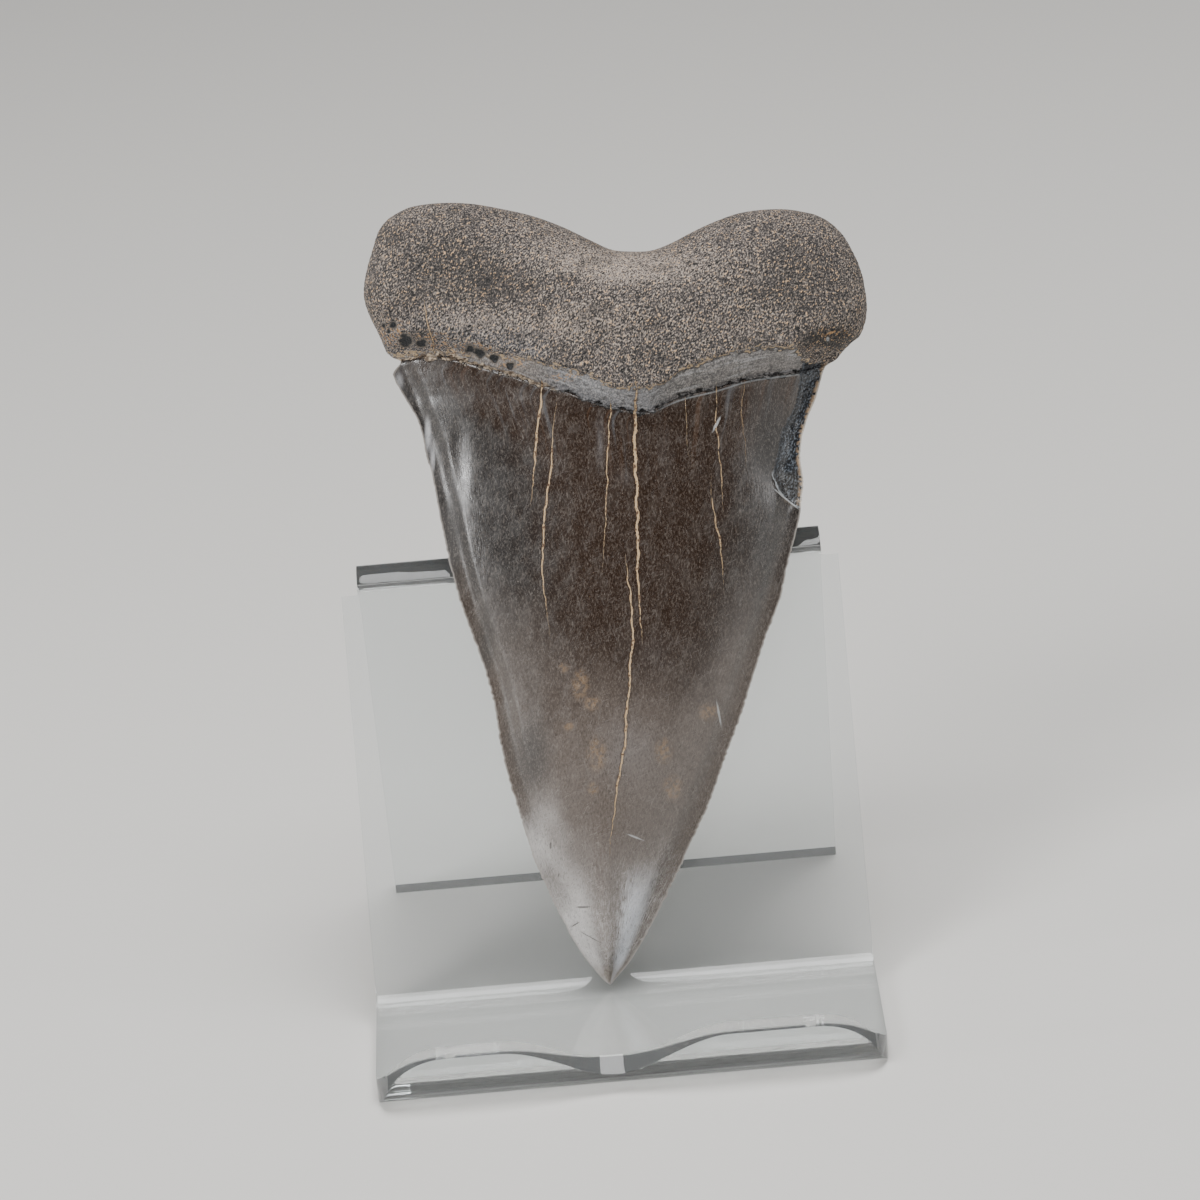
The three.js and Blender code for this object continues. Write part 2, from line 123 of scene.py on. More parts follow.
BAND_SHARE = 0.4  # of the thickness, at most
BAND_STEP = 0.15  # width of the steps on either side of it
# The enamel ends in a low step: its height, and where it rises and drops.
ENAMEL_LEDGE = (0.045, (-0.7, -0.15), (0.02, -0.1))
LEAST_HEIGHT = 0.02
CREST_CURVE = 0.9
NOISE_PLANES = {"back": 1.0, "front": 2.0, "chips": 5.0}  # each reads a plane of its own
# The ends of the band look like root: how far its line moves down there, and between which places.
BAND_FADES = ((0.5, -8, -11), (1.3, 15.6, 17.2))

# The flake that is missing from the right shoulder: (height, sideways place) of its inner edge.
FLAKE_EDGE = (
    (41.4, 16.7), (41.9, 15.7), (42.5, 15.0), (43.4, 14.4), (44.4, 14.05), (45.2, 14.2), (46.6, 14.5),
    (48.1, 14.8), (49.8, 15.7), (50.8, 16.1), (53.2, 16.4), (54.0, 16.6),
)
FLAKE_HEIGHTS = (41.3, 53.9)
FLAKE_SHARE = 0.5  # of the thickness that is missing
FLAKE_SLOPE = 0.4  # width of its inner edge
FLAKE_CHIPS = (0.12, 0.7)  # height and size
# Hollows in the front face: sideways place, height, half width, half height, depth.
PITS = (
    (-19.6, 57.2, 0.22, 0.25, 0.25), (-19.15, 56.75, 0.2, 0.2, 0.2), (-18.75, 57.2, 0.38, 0.34, 0.35),
    (-17.7, 55.95, 0.68, 0.62, 0.4), (-16.3, 55.7, 0.55, 0.42, 0.35), (-12.1, 55.05, 0.42, 0.5, 0.35),
    (-11.2, 54.75, 0.6, 0.5, 0.4), (-10.0, 54.3, 0.5, 0.42, 0.35), (-8.6, 53.65, 0.4, 0.4, 0.3),
    (18.6, 55.8, 2.0, 0.6, 0.18), (-13.1, 44.8, 0.9, 4.2, 0.1), (-10.6, 30.8, 0.6, 2.0, 0.07),
    (15.9, 43.2, 1.3, 1.5, 0.25),
)
# How far from its middle each kind of spot fades out, in half widths.
SPOT_REACH = {"hollow": 1.35, "stain": 1.6, "patch": 1.5}
PIT_DEPTH = 0.2  # a hollow this deep is a dark pit; a shallower one only turns the light
# Cracks filled with pale matrix on the front: (height, sideways place, width) along each.
CRACKS = (
    ((40.6, -6.95, 0), (43.5, -6.7, 0.16), (46.2, -6.5, 0.28), (49.5, -6.15, 0.3), (51.9, -5.9, 0.3)),
    ((28.5, -5.1, 0), (32.4, -5.5, 0.12), (35.8, -5.9, 0.22), (40.6, -5.7, 0.27), (44.9, -5.1, 0.25),
     (50.9, -4.7, 0.06)),
    ((34.0, -0.75, 0), (37.5, -0.6, 0.1), (40.6, -0.5, 0.17), (46.0, -0.25, 0.19), (50.1, 0.0, 0.2)),
    ((28.5, 2.85, 0), (31.2, 2.6, 0.14), (33.8, 2.4, 0.24), (38.2, 2.3, 0.34), (42.8, 2.3, 0.38),
     (46.0, 2.05, 0.42), (49.6, 2.1, 0.34), (52.0, 2.2, 0.16)),
    ((10.2, -0.15, 0), (13.6, 0.1, 0.15), (17.1, 0.55, 0.24), (20.9, 1.15, 0.28), (24.3, 1.4, 0.3),
     (27.2, 1.7, 0.3), (31.0, 1.9, 0.3), (34.4, 1.6, 0.24), (38.5, 1.2, 0)),
    ((44.0, 6.95, 0), (47.3, 6.6, 0.1), (50.6, 6.4, 0.12)),
    ((40.2, 9.8, 0), (43.3, 9.6, 0.15), (46.6, 9.3, 0.18), (48.6, 9.1, 0.2), (51.7, 9.1, 0.14)),
    ((33.6, 9.8, 0), (35.9, 9.7, 0.12), (38.5, 9.4, 0.2), (39.3, 9.2, 0.26), (42.0, 8.8, 0.17),
     (45.3, 8.6, 0)),
    ((43.6, 11.95, 0), (46.0, 11.6, 0.09), (50.0, 11.3, 0.12), (52.2, 11.6, 0.1)),
    ((55.0, -15.2, 0.2), (57.0, -15.6, 0.2), (58.6, -16.0, 0.16), (60.0, -16.1, 0)),
)
# Tan stains on the front: sideways place, height, half width, half height.
STAINS = (
    (-1.6, 24.6, 0.75, 0.7), (-1.2, 20.2, 0.9, 1.5), (-4.0, 27.7, 0.5, 0.5), (-3.6, 22.6, 0.5, 0.4),
    (-1.5, 17.2, 0.5, 0.6), (8.5, 23.8, 1.0, 0.8), (-2.6, 26.2, 0.8, 1.4), (4.6, 20.5, 0.8, 1.2),
    (5.4, 17.2, 0.9, 1.2),
    (-18.8, 56.5, 1.7, 1.2), (-15.2, 55.9, 1.9, 0.7), (19.3, 56.6, 1.6, 0.4),
    (-12.0, 55.1, 2.4, 0.7), (-8.6, 53.9, 2.0, 0.6), (-4.0, 52.6, 1.6, 0.4),
)
# Broad patches on the front: sideways place, height, half width, half height, dark -1 to pale 1.
PATCHES = (
    (-13.5, 62.5, 6.5, 4.5, -0.75), (-8.0, 60.0, 4.5, 2.4, -0.45), (-5.0, 64.0, 5.0, 2.2, 0.4),
    (1.5, 62.2, 6.0, 1.8, 0.95), (-3.5, 57.5, 6.0, 2.2, 0.55), (-12.0, 57.6, 4.5, 1.3, 0.6),
    (2.5, 58.8, 3.5, 1.6, -0.15), (10.0, 62.5, 4.0, 2.8, 0.3), (16.0, 61.5, 6.0, 5.0, -0.7),
    (13.5, 57.0, 5.0, 1.3, 0.4), (19.0, 56.1, 2.9, 0.9, -1.2), (4.0, 54.4, 3.6, 1.7, -0.55),
    (-0.9, 47.0, 0.4, 3.2, 0.3), (1.3, 44.0, 1.4, 1.2, 0.15), (4.6, 46.0, 1.2, 4.0, 0.1),
    (-6.8, 20.0, 2.0, 4.0, -0.9), (1.5, 20.5, 3.5, 4.0, 0.22), (-8.9, 24.5, 0.9, 4.5, -0.35),
    (-10.0, 34.5, 1.2, 3.6, -0.2), (3.6, 29.0, 2.6, 2.4, 0.12), (15.5, 36.0, 1.6, 6.0, 0.05),
    # On the left cutting edge: painted shade in the groove at -14.9, painted highlights on the worn bevel at
    # -15.85 and -15.4.
    (-14.9, 45.5, 0.5, 4.6, -0.35), (-15.85, 47.9, 0.32, 1.6, 1.0), (-15.4, 45.8, 0.28, 1.5, 0.9),
    # A painted highlight on the rim of the left shoulder at -18.4.
    (-18.4, 52.5, 0.5, 0.9, 0.7), (-13.3, 51.0, 2.6, 1.6, -0.4),
    # Painted shade in the groove along the left edge at -13.7.
    (-13.7, 38.8, 1.0, 4.6, -0.9), (-10.8, 29.5, 0.9, 3.4, -0.7), (13.6, 47.8, 2.0, 4.2, -1.0),
    (0.2, 9.0, 1.0, 4.4, -0.3),
)
# Thin marks on the front: sideways place, height, half length, half width, degrees from level.
PALE_MARKS = (
    (9.1, 48.6, 0.7, 0.11, 63), (9.4, 23.6, 1.05, 0.08, 101), (2.1, 13.0, 0.7, 0.06, -22),
    # The first mark below, at 15.2, 42.3, is a painted highlight on the lower rim of the broken face.
    (15.2, 42.3, 1.2, 0.07, -38), (18.75, 56.0, 0.13, 0.16, 0),
)
DARK_MARKS = (
    (-2.4, 6.85, 0.5, 0.08, 3), (-1.7, 4.2, 0.9, 0.035, -27), (-3.05, 5.3, 0.35, 0.045, 32),
    (-5.2, 12.2, 0.28, 0.07, 85), (-4.5, 9.6, 0.15, 0.04, 80), (18.75, 56.0, 0.04, 0.05, 0),
)


def linear(hex_colour):
    """Turns an sRGB hex colour into the linear values that Blender's sockets hold."""
    channels = [int(hex_colour[i : i + 2], 16) / 255 for i in (0, 2, 4)]
    return [c / 12.92 if c <= 0.04045 else ((c + 0.055) / 1.055) ** 2.4 for c in channels]


def length(name, description, default):
    """A size in the panel, given in millimetres."""
    return FloatProperty(
        name=name, description=description, default=default * MM, min=0, unit="LENGTH", precision=5
    )


def angle(name, description, default):
    """An angle in the panel, given in degrees."""
    return FloatProperty(name=name, description=description, default=math.radians(default), unit="ROTATION")


def power(name, description, default):
    """The power of a light in the panel, in watts."""
    return FloatProperty(name=name, description=description, default=default, unit="POWER")


def colour(name, description, hex_colour):
    """A colour in the panel."""
    return FloatVectorProperty(
        name=name, description=description, default=linear(hex_colour), subtype="COLOR", size=3, min=0, max=1
    )


class ToothSettings(PropertyGroup):
    """Sizes and colours of the tooth"""

    lean: angle("Lean", "How far it leans back from upright", 20)
    roll: angle("Roll", "How far it tips to the right", 5)
    columns: IntProperty(name="Columns", description="Faces across the tooth", default=130, min=20, max=200)
    crown_rows: IntProperty(
        name="Crown rows", description="Faces up the crown", default=226, min=20, max=400
    )
    root_rows: IntProperty(name="Root rows", description="Faces up the root", default=92, min=10, max=200)
    edge_wear: length("Edge wear", "Depth of the fine nicks along the cutting edges", 0.07)
    root_relief: length("Root relief", "Height of the low swellings of the root", 0.12)
    enamel_brown: colour("Enamel, middle", "Dark brown middle of the crown", "2b1b0f")
    enamel_grey: colour("Enamel, sides", "Grey sides of the crown", "262322")
    enamel_tip: colour("Enamel, tip", "Worn pale grey tip", "938b86")
    root_dark: colour("Root, pores", "Pores of the root", "181717")
    root_brown: colour("Root, body", "Grey brown body of the root", "625b58")
    root_tan: colour("Root, grains", "Tan grains of the root", "c4b5a6")
    band: colour("Band", "Smooth band between root and enamel", "7f7f82")
    matrix: colour("Matrix", "Pale sediment left in cracks and crevices", "c8ad88")
    flake: colour("Broken face", "Blue grey broken face on the right shoulder", "1a1c21")


class EaselSettings(PropertyGroup):
    """Sizes and colours of the easel"""

    sheet: length("Sheet", "Thickness of the acrylic", 2.0)
    gap: length("Gap", "Between the tooth and the acrylic", 0.3)
    panel_width: length("Panel width", "Width at the shoulders", 43.5)
    leg_width: length("Leg width", "Width of the rear leg", 40.6)
    panel_height: length("Panel height", "From the tip of the tooth up to the shoulders", 35.7)
    panel_setback: length("Panel setback", "From the tip of the tooth back to the panel", 1.15)
    tip_offset: length("Tip offset", "From the tip of the tooth to the middle of the easel", 1.3)
    shelf_reach: length("Shelf reach", "From the tip of the tooth to the front of the lip", 18)
    shelf_corner: length("Sheet corner", "Radius of the two front corners of the sheet", 6)
    lip_height: length("Lip height", "Top of the lip above the table", 4.95)
    dip_depth: length("Dip depth", "Depth of the hollow in the lip", 2.7)
    dip_half_width: length("Dip half width", "Half the width of the hollow", 9.8)
    lip_bend: length("Lip bend", "Bend radius at the lip", 2.4)
    shelf_bend: length("Shelf bend", "Bend radius between shelf and panel", 3.4)
    top_bend: length("Top bend", "Bend radius at the top", 1.6)
    leg_splay: angle("Leg splay", "Of the leg from upright", 22)
    lip_splay: angle("Lip splay", "Of the lip from upright", 8)
    edge_round: length("Edge rounding", "Radius of the flame polished edges", 0.22)
    tint: colour("Tint", "Colour that thick acrylic shows", "dfeef0")


class StageSettings(PropertyGroup):
    """The studio round the tooth"""

    floor: colour("Floor", "Matt pale board", "d9d7d3")
    floor_size: FloatProperty(name="Floor size", description="Side of the board", default=6, unit="LENGTH")
    distance: length("Camera distance", "From the camera to the tooth", 500)
    lens: FloatProperty(name="Lens", description="Focal length", default=172.4, subtype="DISTANCE_CAMERA")
    key_power: power("Key light", "Soft light at upper left", 3.2)
    left_power: power("Left light", "Strip at left", 0.63)
    right_power: power("Right light", "Strip at right", 0.44)
    top_power: power("Top light", "Soft light overhead", 5.5)
    ambient: FloatProperty(name="Ambient", description="Strength of the room's light", default=0.12, min=0)


def curve_through(knots):
    """A smooth function through the given (x, y) knots, level beyond both ends."""
    xs, ys = np.array(knots, float).T
    before = np.maximum(np.arange(len(xs)) - 1, 0)
    after = np.minimum(np.arange(len(xs)) + 1, len(xs) - 1)
    slopes = (ys[after] - ys[before]) / (xs[after] - xs[before])

    def curve(x):
        x = np.clip(x, xs[0], xs[-1])
        i = np.clip(np.searchsorted(xs, x, side="right") - 1, 0, len(xs) - 2)
        span = xs[i + 1] - xs[i]
        t = (x - xs[i]) / span
        ease = t * t * (3 - 2 * t)
        bend = span * t * (1 - t) * (slopes[i] * (1 - t) - slopes[i + 1] * t)
        return ys[i] * (1 - ease) + ys[i + 1] * ease + bend

    return curve


def smoothstep(x, low, high):
    t = np.clip((x - low) / (high - low), 0, 1)
    return t * t * (3 - 2 * t)


def bump_at(distance):
    """A smooth rise from 0 at distance 1 to 1 at distance 0."""
    return smoothstep(distance, 1, 0)


left_side, right_side, top_line = map(curve_through, (LEFT_SIDE, RIGHT_SIDE, TOP_LINE))
enamel_line = {True: curve_through(FRONT_ENAMEL), False: curve_through(BACK_ENAMEL)}
band_line = {True: curve_through(FRONT_BAND), False: curve_through(BACK_BAND)}
crown_height = {True: curve_through(CROWN_FRONT), False: curve_through(CROWN_BACK)}
root_height = {True: curve_through(ROOT_FRONT), False: curve_through(ROOT_BACK)}
flake_edge = curve_through(FLAKE_EDGE)


def line_across(ends, curve, across):
    """Points of a line that runs across the tooth between two heights of its sides."""
    u = left_side(ends[0]) * (1 - across) + right_side(ends[1]) * across
    return np.stack([u, curve(u)])


def row_between(lower, upper, share, across):
    """Points between two lines, pulled at both ends onto the outline."""
    point = lower * (1 - share) + upper * share
    for end, side, weight in ((0, left_side, 1 - across), (-1, right_side, across)):
        u, v = lower[:, end] * (1 - share) + upper[:, end] * share
        point[0] += weight * (side(v) - u)
    return point


CROWN_CROWDING = 1.12  # rows of faces lie closer together toward the tip
BAND_ROWS = (0.03, 0.07, 0.13, 0.2, 0.3, 0.4, 0.5, 0.6, 0.7, 0.8, 0.88, 0.94, 1)
OUTLINE_POINTS = (160, 110)  # up each side, and over the lobes


def tooth_rows(settings, front):
    """The grid of one face as arrays of u and v, row by row above the tip."""
    across = 0.5 - 0.5 * np.cos(np.linspace(0, np.pi, settings.columns + 1))
    tip = np.zeros((2, len(across)))
    enamel = line_across(ENAMEL_ENDS, enamel_line[front], across)
    band = line_across(BAND_ENDS, band_line[front], across)
    top = line_across(TOP_ENDS, top_line, across)
    crown_shares = (np.arange(1, settings.crown_rows + 1) / settings.crown_rows) ** CROWN_CROWDING
    root_shares = np.sin(np.pi / 2 * np.arange(1, settings.root_rows + 1) / settings.root_rows)
    rows = [row_between(tip, enamel, share, across) for share in crown_shares]
    rows += [row_between(enamel, band, share, across) for share in BAND_ROWS]
    rows += [row_between(band, top, share, across) for share in root_shares]
    u, v = np.stack(rows, 1)
    return u, v, across


def outline_points():
    """Points along the outline, from the tip up the left side, over the lobes and down the right."""
    heights = np.linspace(0, TOP_ENDS[0], OUTLINE_POINTS[0])
    over = np.linspace(left_side(TOP_ENDS[0]), right_side(TOP_ENDS[1]), OUTLINE_POINTS[1])
    left = np.stack([left_side(heights), heights], 1)
    right = np.stack([right_side(heights), heights], 1)[::-1]
    return np.concatenate([left, np.stack([over, top_line(over)], 1), right])


def distance_inside(u, v):
    """Distance from each point of a face to the outline of the tooth."""
    nearest = np.full(u.shape, np.inf)
    points = outline_points()
    for a, b in zip(points[:-1], points[1:]):
        along = b - a
        t = ((u - a[0]) * along[0] + (v - a[1]) * along[1]) / max(along @ along, 1e-12)
        t = np.clip(t, 0, 1)
        nearest = np.minimum(nearest, np.hypot(u - a[0] - t * along[0], v - a[1] - t * along[1]))
    return nearest


def swelling(u, v, size, seed):
    """Low, smooth unevenness of about the given size, between -1 and 1."""
    places = zip((u / size).ravel(), (v / size).ravel())
    return np.reshape([noise.noise(Vector((x, y, seed))) for x, y in places], u.shape)


def rounded(share):
    return np.sqrt(1 - (1 - np.minimum(share, 1)) ** 2)


def softened(side, v):
    """A side of the tooth without its nicks and corners."""
    most, steps = SIDE_SOFTENING
    reach = np.minimum(most, v / 3)
    return sum(side(v + step * reach) for step in np.linspace(-1, 1, steps)) / steps


def face_heights(settings, front, u, v, inside):
    """Height of one face over the plane of the cutting edges."""
    left, right = softened(left_side, v), softened(right_side, v)
    x = np.minimum(np.abs(2 * (u - left) / (right - left) - 1), 1)
    softness, slope, top = RIDGE
    ridge = np.maximum((1 - np.sqrt(x**2 + softness) ** slope) / (1 - top**slope), 0)
    section = ridge + (1 - x**SECTION_POWER - ridge) * smoothstep(v, *RIDGE_HEIGHTS)
    from_side = np.minimum(u - left, right - u)
    margin = BLADE_SHARE + (1 - BLADE_SHARE) * smoothstep(from_side, BLADE_START, BLADE_WIDTH)
    crown = crown_height[front](v) * section * margin
    if front:
        depth, middle, half_width = GROOVE
        groove = depth * bump_at(np.abs(from_side - middle) / half_width)
        crown -= groove * smoothstep(v, *GROOVE_HEIGHTS[0]) * smoothstep(v, *GROOVE_HEIGHTS[1])

    thinning, low, high = ROOT_THINNING
    thickness = root_height[front](np.abs(u - ROOT_MIDDLE)) * (1 - thinning * smoothstep(v, low, high))
    root = thickness * rounded(inside / ROOT_ROUNDING[front])
    size, full = ROOT_SWELLING
    plane = NOISE_PLANES["front" if front else "back"]
    relief = settings.root_relief / MM * swelling(u, v, size, plane)
    root += relief * smoothstep(inside, 0, full)

    above = v - enamel_line[front](u)
    height = crown + (root - crown) * smoothstep(above, 0, ROOT_RISE)
    ledge, rise, drop = ENAMEL_LEDGE
    height += ledge * smoothstep(above, *rise) * smoothstep(above, *drop)
    below_band_top = smoothstep(v - band_line[front](u), BAND_STEP, -BAND_STEP)
    in_band = smoothstep(above, 0, BAND_STEP) * below_band_top
    height -= np.minimum(BAND_DEPTH, height * BAND_SHARE) * in_band
    if front:
        broken = (v > FLAKE_HEIGHTS[0]) & (v < FLAKE_HEIGHTS[1])
        flake = smoothstep(u, flake_edge(v), flake_edge(v) + FLAKE_SLOPE) * broken
        chips = FLAKE_CHIPS[0] * swelling(u, v, FLAKE_CHIPS[1], NOISE_PLANES["chips"]) * flake
        height = height * (1 - FLAKE_SHARE * flake) + chips
        height -= pit_depth(u, v)[1]
    return np.maximum(height, LEAST_HEIGHT)


def pit_depth(u, v):
    """How far each point is into a pit, from 0 to 1, and the depth of every hollow there."""
    share, depth = np.zeros(u.shape), np.zeros(u.shape)
    for place_u, place_v, half_width, half_height, deepest in PITS:
        away = np.hypot((u - place_u) / half_width, (v - place_v) / half_height)
        spot = bump_at(away / SPOT_REACH["hollow"])
        share = np.maximum(share, spot * (deepest >= PIT_DEPTH))
        depth = np.maximum(depth, spot * deepest)
    return share, depth


def stain_depth(u, v):
    """How far each point is into a stain, from 0 to 1."""
    spots = (np.hypot((u - x) / wide, (v - y) / high) for x, y, wide, high in STAINS)
    return functools.reduce(np.maximum, (bump_at(away / SPOT_REACH["stain"]) for away in spots))


def patch_shade(u, v):
    """Soft broad patches, from -1 for dark to 1 for pale; by the crown's left edge, painted highlights and
    shade.
    """
    total = np.zeros(u.shape)
    for place_u, place_v, half_width, half_height, amount in PATCHES:
        away = np.hypot((u - place_u) / half_width, (v - place_v) / half_height)
        total += amount * bump_at(away / SPOT_REACH["patch"])
    return np.clip(total, -1, 1)


NICK_SEED = 7
NICK_REACH = 0.5  # how far in from the outline the nicks draw the face along
NICK_HEIGHTS = ((2, 6), (42, 34))  # they are deepest between these, from the tip to mid crown
NICK_LEAST = 0.35  # share of the depth that is left toward the root
FAR_OFF = -9  # where there is no broken face


def tooth_point_grid(settings, front):
    """One face of the tooth as an array of points and the values that its material reads."""
    u, v, across = tooth_rows(settings, front)
    inside = distance_inside(u, v)
    height = face_heights(settings, front, u, v, inside)
    rims = np.zeros(u.shape, bool)
    rims[:, 0] = rims[:, -1] = rims[-1, :] = True
    height[rims] = 0
    near_tip, up_crown = (smoothstep(v[:, 0], *heights) for heights in NICK_HEIGHTS)
    nick = np.random.default_rng(NICK_SEED).uniform(-1, 1, (2, u.shape[0])) * near_tip
    nick *= settings.edge_wear / MM * (NICK_LEAST + (1 - NICK_LEAST) * up_crown)
    reach = smoothstep(inside, NICK_REACH, 0)
    left = np.linspace(1, 0, u.shape[1]) > 0.5
    places = np.where(left, u + nick[0][:, None] * reach, u - nick[1][:, None] * reach)
    crest = CREST_CURVE * np.sin(np.pi * np.minimum(v, TOP_ENDS[0]) / TOP_ENDS[0])
    fade = sum(shift * smoothstep(u, start, full) for shift, start, full in BAND_FADES)
    # The material takes the broken face a hair further than the shape, so that no rim of enamel is left.
    broken = (v > FLAKE_HEIGHTS[0] - 0.1) & (v < FLAKE_HEIGHTS[1] + 0.2) & front
    values = {
        "enamel_mm": v - enamel_line[front](u),
        "band_mm": v - band_line[front](u) + front * fade,
        "edge_mm": inside,
        "flake_mm": np.where(broken, u - flake_edge(v), FAR_OFF),
        "across": (2 * across - 1) * np.ones_like(u),
        "front": np.full(u.shape, float(front)),
        "stain": stain_depth(u, v) * front,
        "pit": pit_depth(u, v)[0] * front,
        "shade": patch_shade(u, v) * front,
    }
    return np.stack([places, v, crest + (height if front else -height)], -1), values


def tooth_matrix(tooth, easel):
    """From the tooth's own millimetres to its place on the easel."""
    low, high = (Vector(corner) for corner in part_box("easel"))
    middle_x, tip_z = (low.x + high.x) / 2, easel.sheet + easel.gap
    tip = Vector((middle_x - easel.tip_offset, low.y + easel.shelf_reach, tip_z))
    turn = Matrix.Rotation(math.pi / 2 - tooth.lean, 4, "X") @ Matrix.Rotation(-tooth.roll, 4, "Z")
    return Matrix.Translation(tip) @ turn @ Matrix.Scale(MM, 4)


def grid_faces(rows, columns, start, turned):
    """The quads of a grid of points that are numbered row by row."""
    corner = (np.arange(rows - 1)[:, None] * columns + np.arange(columns - 1)).ravel() + start
    quads = np.stack([corner, corner + 1, corner + columns + 1, corner + columns], 1)
    return quads[:, ::-1] if turned else quads


def tooth_mesh(settings, matrix):
    """The whole tooth: two faces that share the points of the outline, closed at the tip."""
    (front, front_values), (back, back_values) = (tooth_point_grid(settings, side) for side in (True, False))
    rows, columns = front.shape[:2]
    per_face = rows * columns
    points = np.concatenate([front.reshape(-1, 3), back.reshape(-1, 3), np.zeros((1, 3))])
    quads = np.concatenate([grid_faces(rows, columns, 0, False), grid_faces(rows, columns, per_face, True)])
    number = np.arange(per_face).reshape(rows, columns)
    shared = np.concatenate([number[:, 0], number[:, -1], number[-1]])
    renumber = np.arange(len(points))
    renumber[shared + per_face] = shared
    tip = 2 * per_face
    fan = [(tip, i + 1, i) for i in range(columns - 1)]
    fan += [(tip, int(renumber[per_face + i]), int(renumber[per_face + i + 1])) for i in range(columns - 1)]
    used = np.setdiff1d(np.arange(len(points)), shared + per_face)
    packed = np.zeros(len(points), int)
    packed[used] = np.arange(len(used))
    faces = packed[renumber[quads]].tolist() + [tuple(int(packed[i]) for i in face) for face in fan]

    world = points[used] @ np.array(matrix.to_3x3()).T + np.array(matrix.translation)
    mesh = bpy.data.meshes.new("tooth")
    mesh.from_pydata(world.tolist(), [], faces)
    mesh.shade_smooth()
    place = mesh.attributes.new("tooth_mm", "FLOAT_VECTOR", "POINT")
    place.data.foreach_set("vector", points[used].astype(np.float32).ravel())
    for name in front_values:
        both = np.concatenate([front_values[name].ravel(), back_values[name].ravel(), [0]])
        values = mesh.attributes.new(name, "FLOAT", "POINT")
        values.data.foreach_set("value", both[used].astype(np.float32))
    return mesh


def add_node(tree, kind, inputs=(), **settings):
    """Adds a node, sets its settings, and fills its inputs, named or numbered, with values or links."""
    node = tree.nodes.new(kind)
    for name, value in settings.items():
        setattr(node, name, value)
    for name, value in dict(inputs).items():
        named = [s for s in node.inputs if s.enabled and s.name == name]
        socket = named[0] if named else node.inputs[name]
        if isinstance(value, bpy.types.Node):
            value = next(s for s in value.outputs if s.enabled)
        if isinstance(value, bpy.types.NodeSocket):
            tree.links.new(value, socket)
        elif socket.type == "RGBA":
            socket.default_value = (*value[:3], 1)
        else:
            socket.default_value = value
    return node


def new_material(name):
    """An empty material, and the function that adds nodes to it."""
    material = bpy.data.materials.new(name)
    material.use_nodes = True
    material.node_tree.nodes.clear()
    return material, functools.partial(add_node, material.node_tree)


HEIGHT_SPAN, SIDE_SPAN = 70, 50
CRACK_SPREAD = {"inside": (1.0, 0.0009), "beside": (2.4, 0.003)}  # width and softness of each mask


def crack_masks(add, u, v, unevenness):
    """1 inside the cracks, and 1 inside and close beside them. Each crack has a path and a width that
    change with height. A curve's values run from 0 to 1, so places and heights are divided by a span."""
    height = add("ShaderNodeMath", {0: v, 1: 1 / HEIGHT_SPAN}, operation="MULTIPLY")
    sideways = add("ShaderNodeMath", {0: u, 1: 1 / SIDE_SPAN, 2: 0.5}, operation="MULTIPLY_ADD")
    half_width = add("ShaderNodeMath", {0: unevenness, 1: 0.009, 2: -0.0008}, operation="MULTIPLY_ADD")
    deepest = dict.fromkeys(CRACK_SPREAD)
    for crack in CRACKS:
        path = [(knot[0] / HEIGHT_SPAN, knot[1] / SIDE_SPAN + 0.5) for knot in crack]
        width = [(knot[0] / HEIGHT_SPAN, knot[2] * 2) for knot in crack]
        # Two knots at each end keep the width at exactly 0 above and below the crack.
        below, above = width[0][0], width[-1][0]
        width = [(below - 0.02, 0), (below - 0.002, 0), *width, (above + 0.012, 0), (above + 0.03, 0)]
        curves = []
        for knots in (path, width):
            curve = add("ShaderNodeFloatCurve", {"Value": height})
            points = curve.mapping.curves[0].points
            points[0].location, points[1].location = knots[0], knots[-1]
            for knot in knots[1:-1]:
                points.new(*knot)
            for point in points:
                point.handle_type = "VECTOR"
            curve.mapping.extend = "HORIZONTAL"
            curve.mapping.update()
            curves.append(curve)
        away = add("ShaderNodeMath", {0: sideways, 1: curves[0]}, operation="SUBTRACT")
        distance = add("ShaderNodeMath", {0: away}, operation="ABSOLUTE")
        reach = add("ShaderNodeMath", {0: curves[1], 1: half_width}, operation="MULTIPLY")
        for side, (factor, _) in CRACK_SPREAD.items():
            wider = add("ShaderNodeMath", {0: reach, 1: factor}, operation="MULTIPLY")
            within = add("ShaderNodeMath", {0: wider, 1: distance}, operation="SUBTRACT")
            if deepest[side]:
                within = add("ShaderNodeMath", {0: deepest[side], 1: within}, operation="MAXIMUM")
            deepest[side] = within
    return [
        add("ShaderNodeMapRange", {"Value": deepest[side], "From Min": 0.0001, "From Max": soft})
        for side, (_, soft) in CRACK_SPREAD.items()
    ]


MARK_EDGE = (1.9, 1.2)  # where a mark begins and where it has its full strength
MARK_DEPTH = 1000  # so that a mark shows however far the face bulges


def mark_mask(add, place, marks, unevenness):
    """1 inside the thin marks and 0 outside. Each is a narrow ellipse with a ragged edge."""
    nearest = None
    for u, v, half_length, half_width, degrees in marks:
        spot = add(
            "ShaderNodeMapping",
            {
                "Vector": place,
                "Location": (u, v, 0),
                "Rotation": (0, 0, math.radians(degrees)),
                "Scale": (half_length, half_width, MARK_DEPTH),
            },
            vector_type="TEXTURE",
        )
        off = add("ShaderNodeVectorMath", {0: spot}, operation="LENGTH").outputs["Value"]
        nearest = add("ShaderNodeMath", {0: nearest, 1: off}, operation="MINIMUM") if nearest else off
    ragged = add("ShaderNodeMath", {0: nearest, 1: unevenness}, operation="ADD")
    return add(
        "ShaderNodeMapRange",
        {"Value": ragged, "From Min": MARK_EDGE[0], "From Max": MARK_EDGE[1]},
        interpolation_type="SMOOTHSTEP",
    )


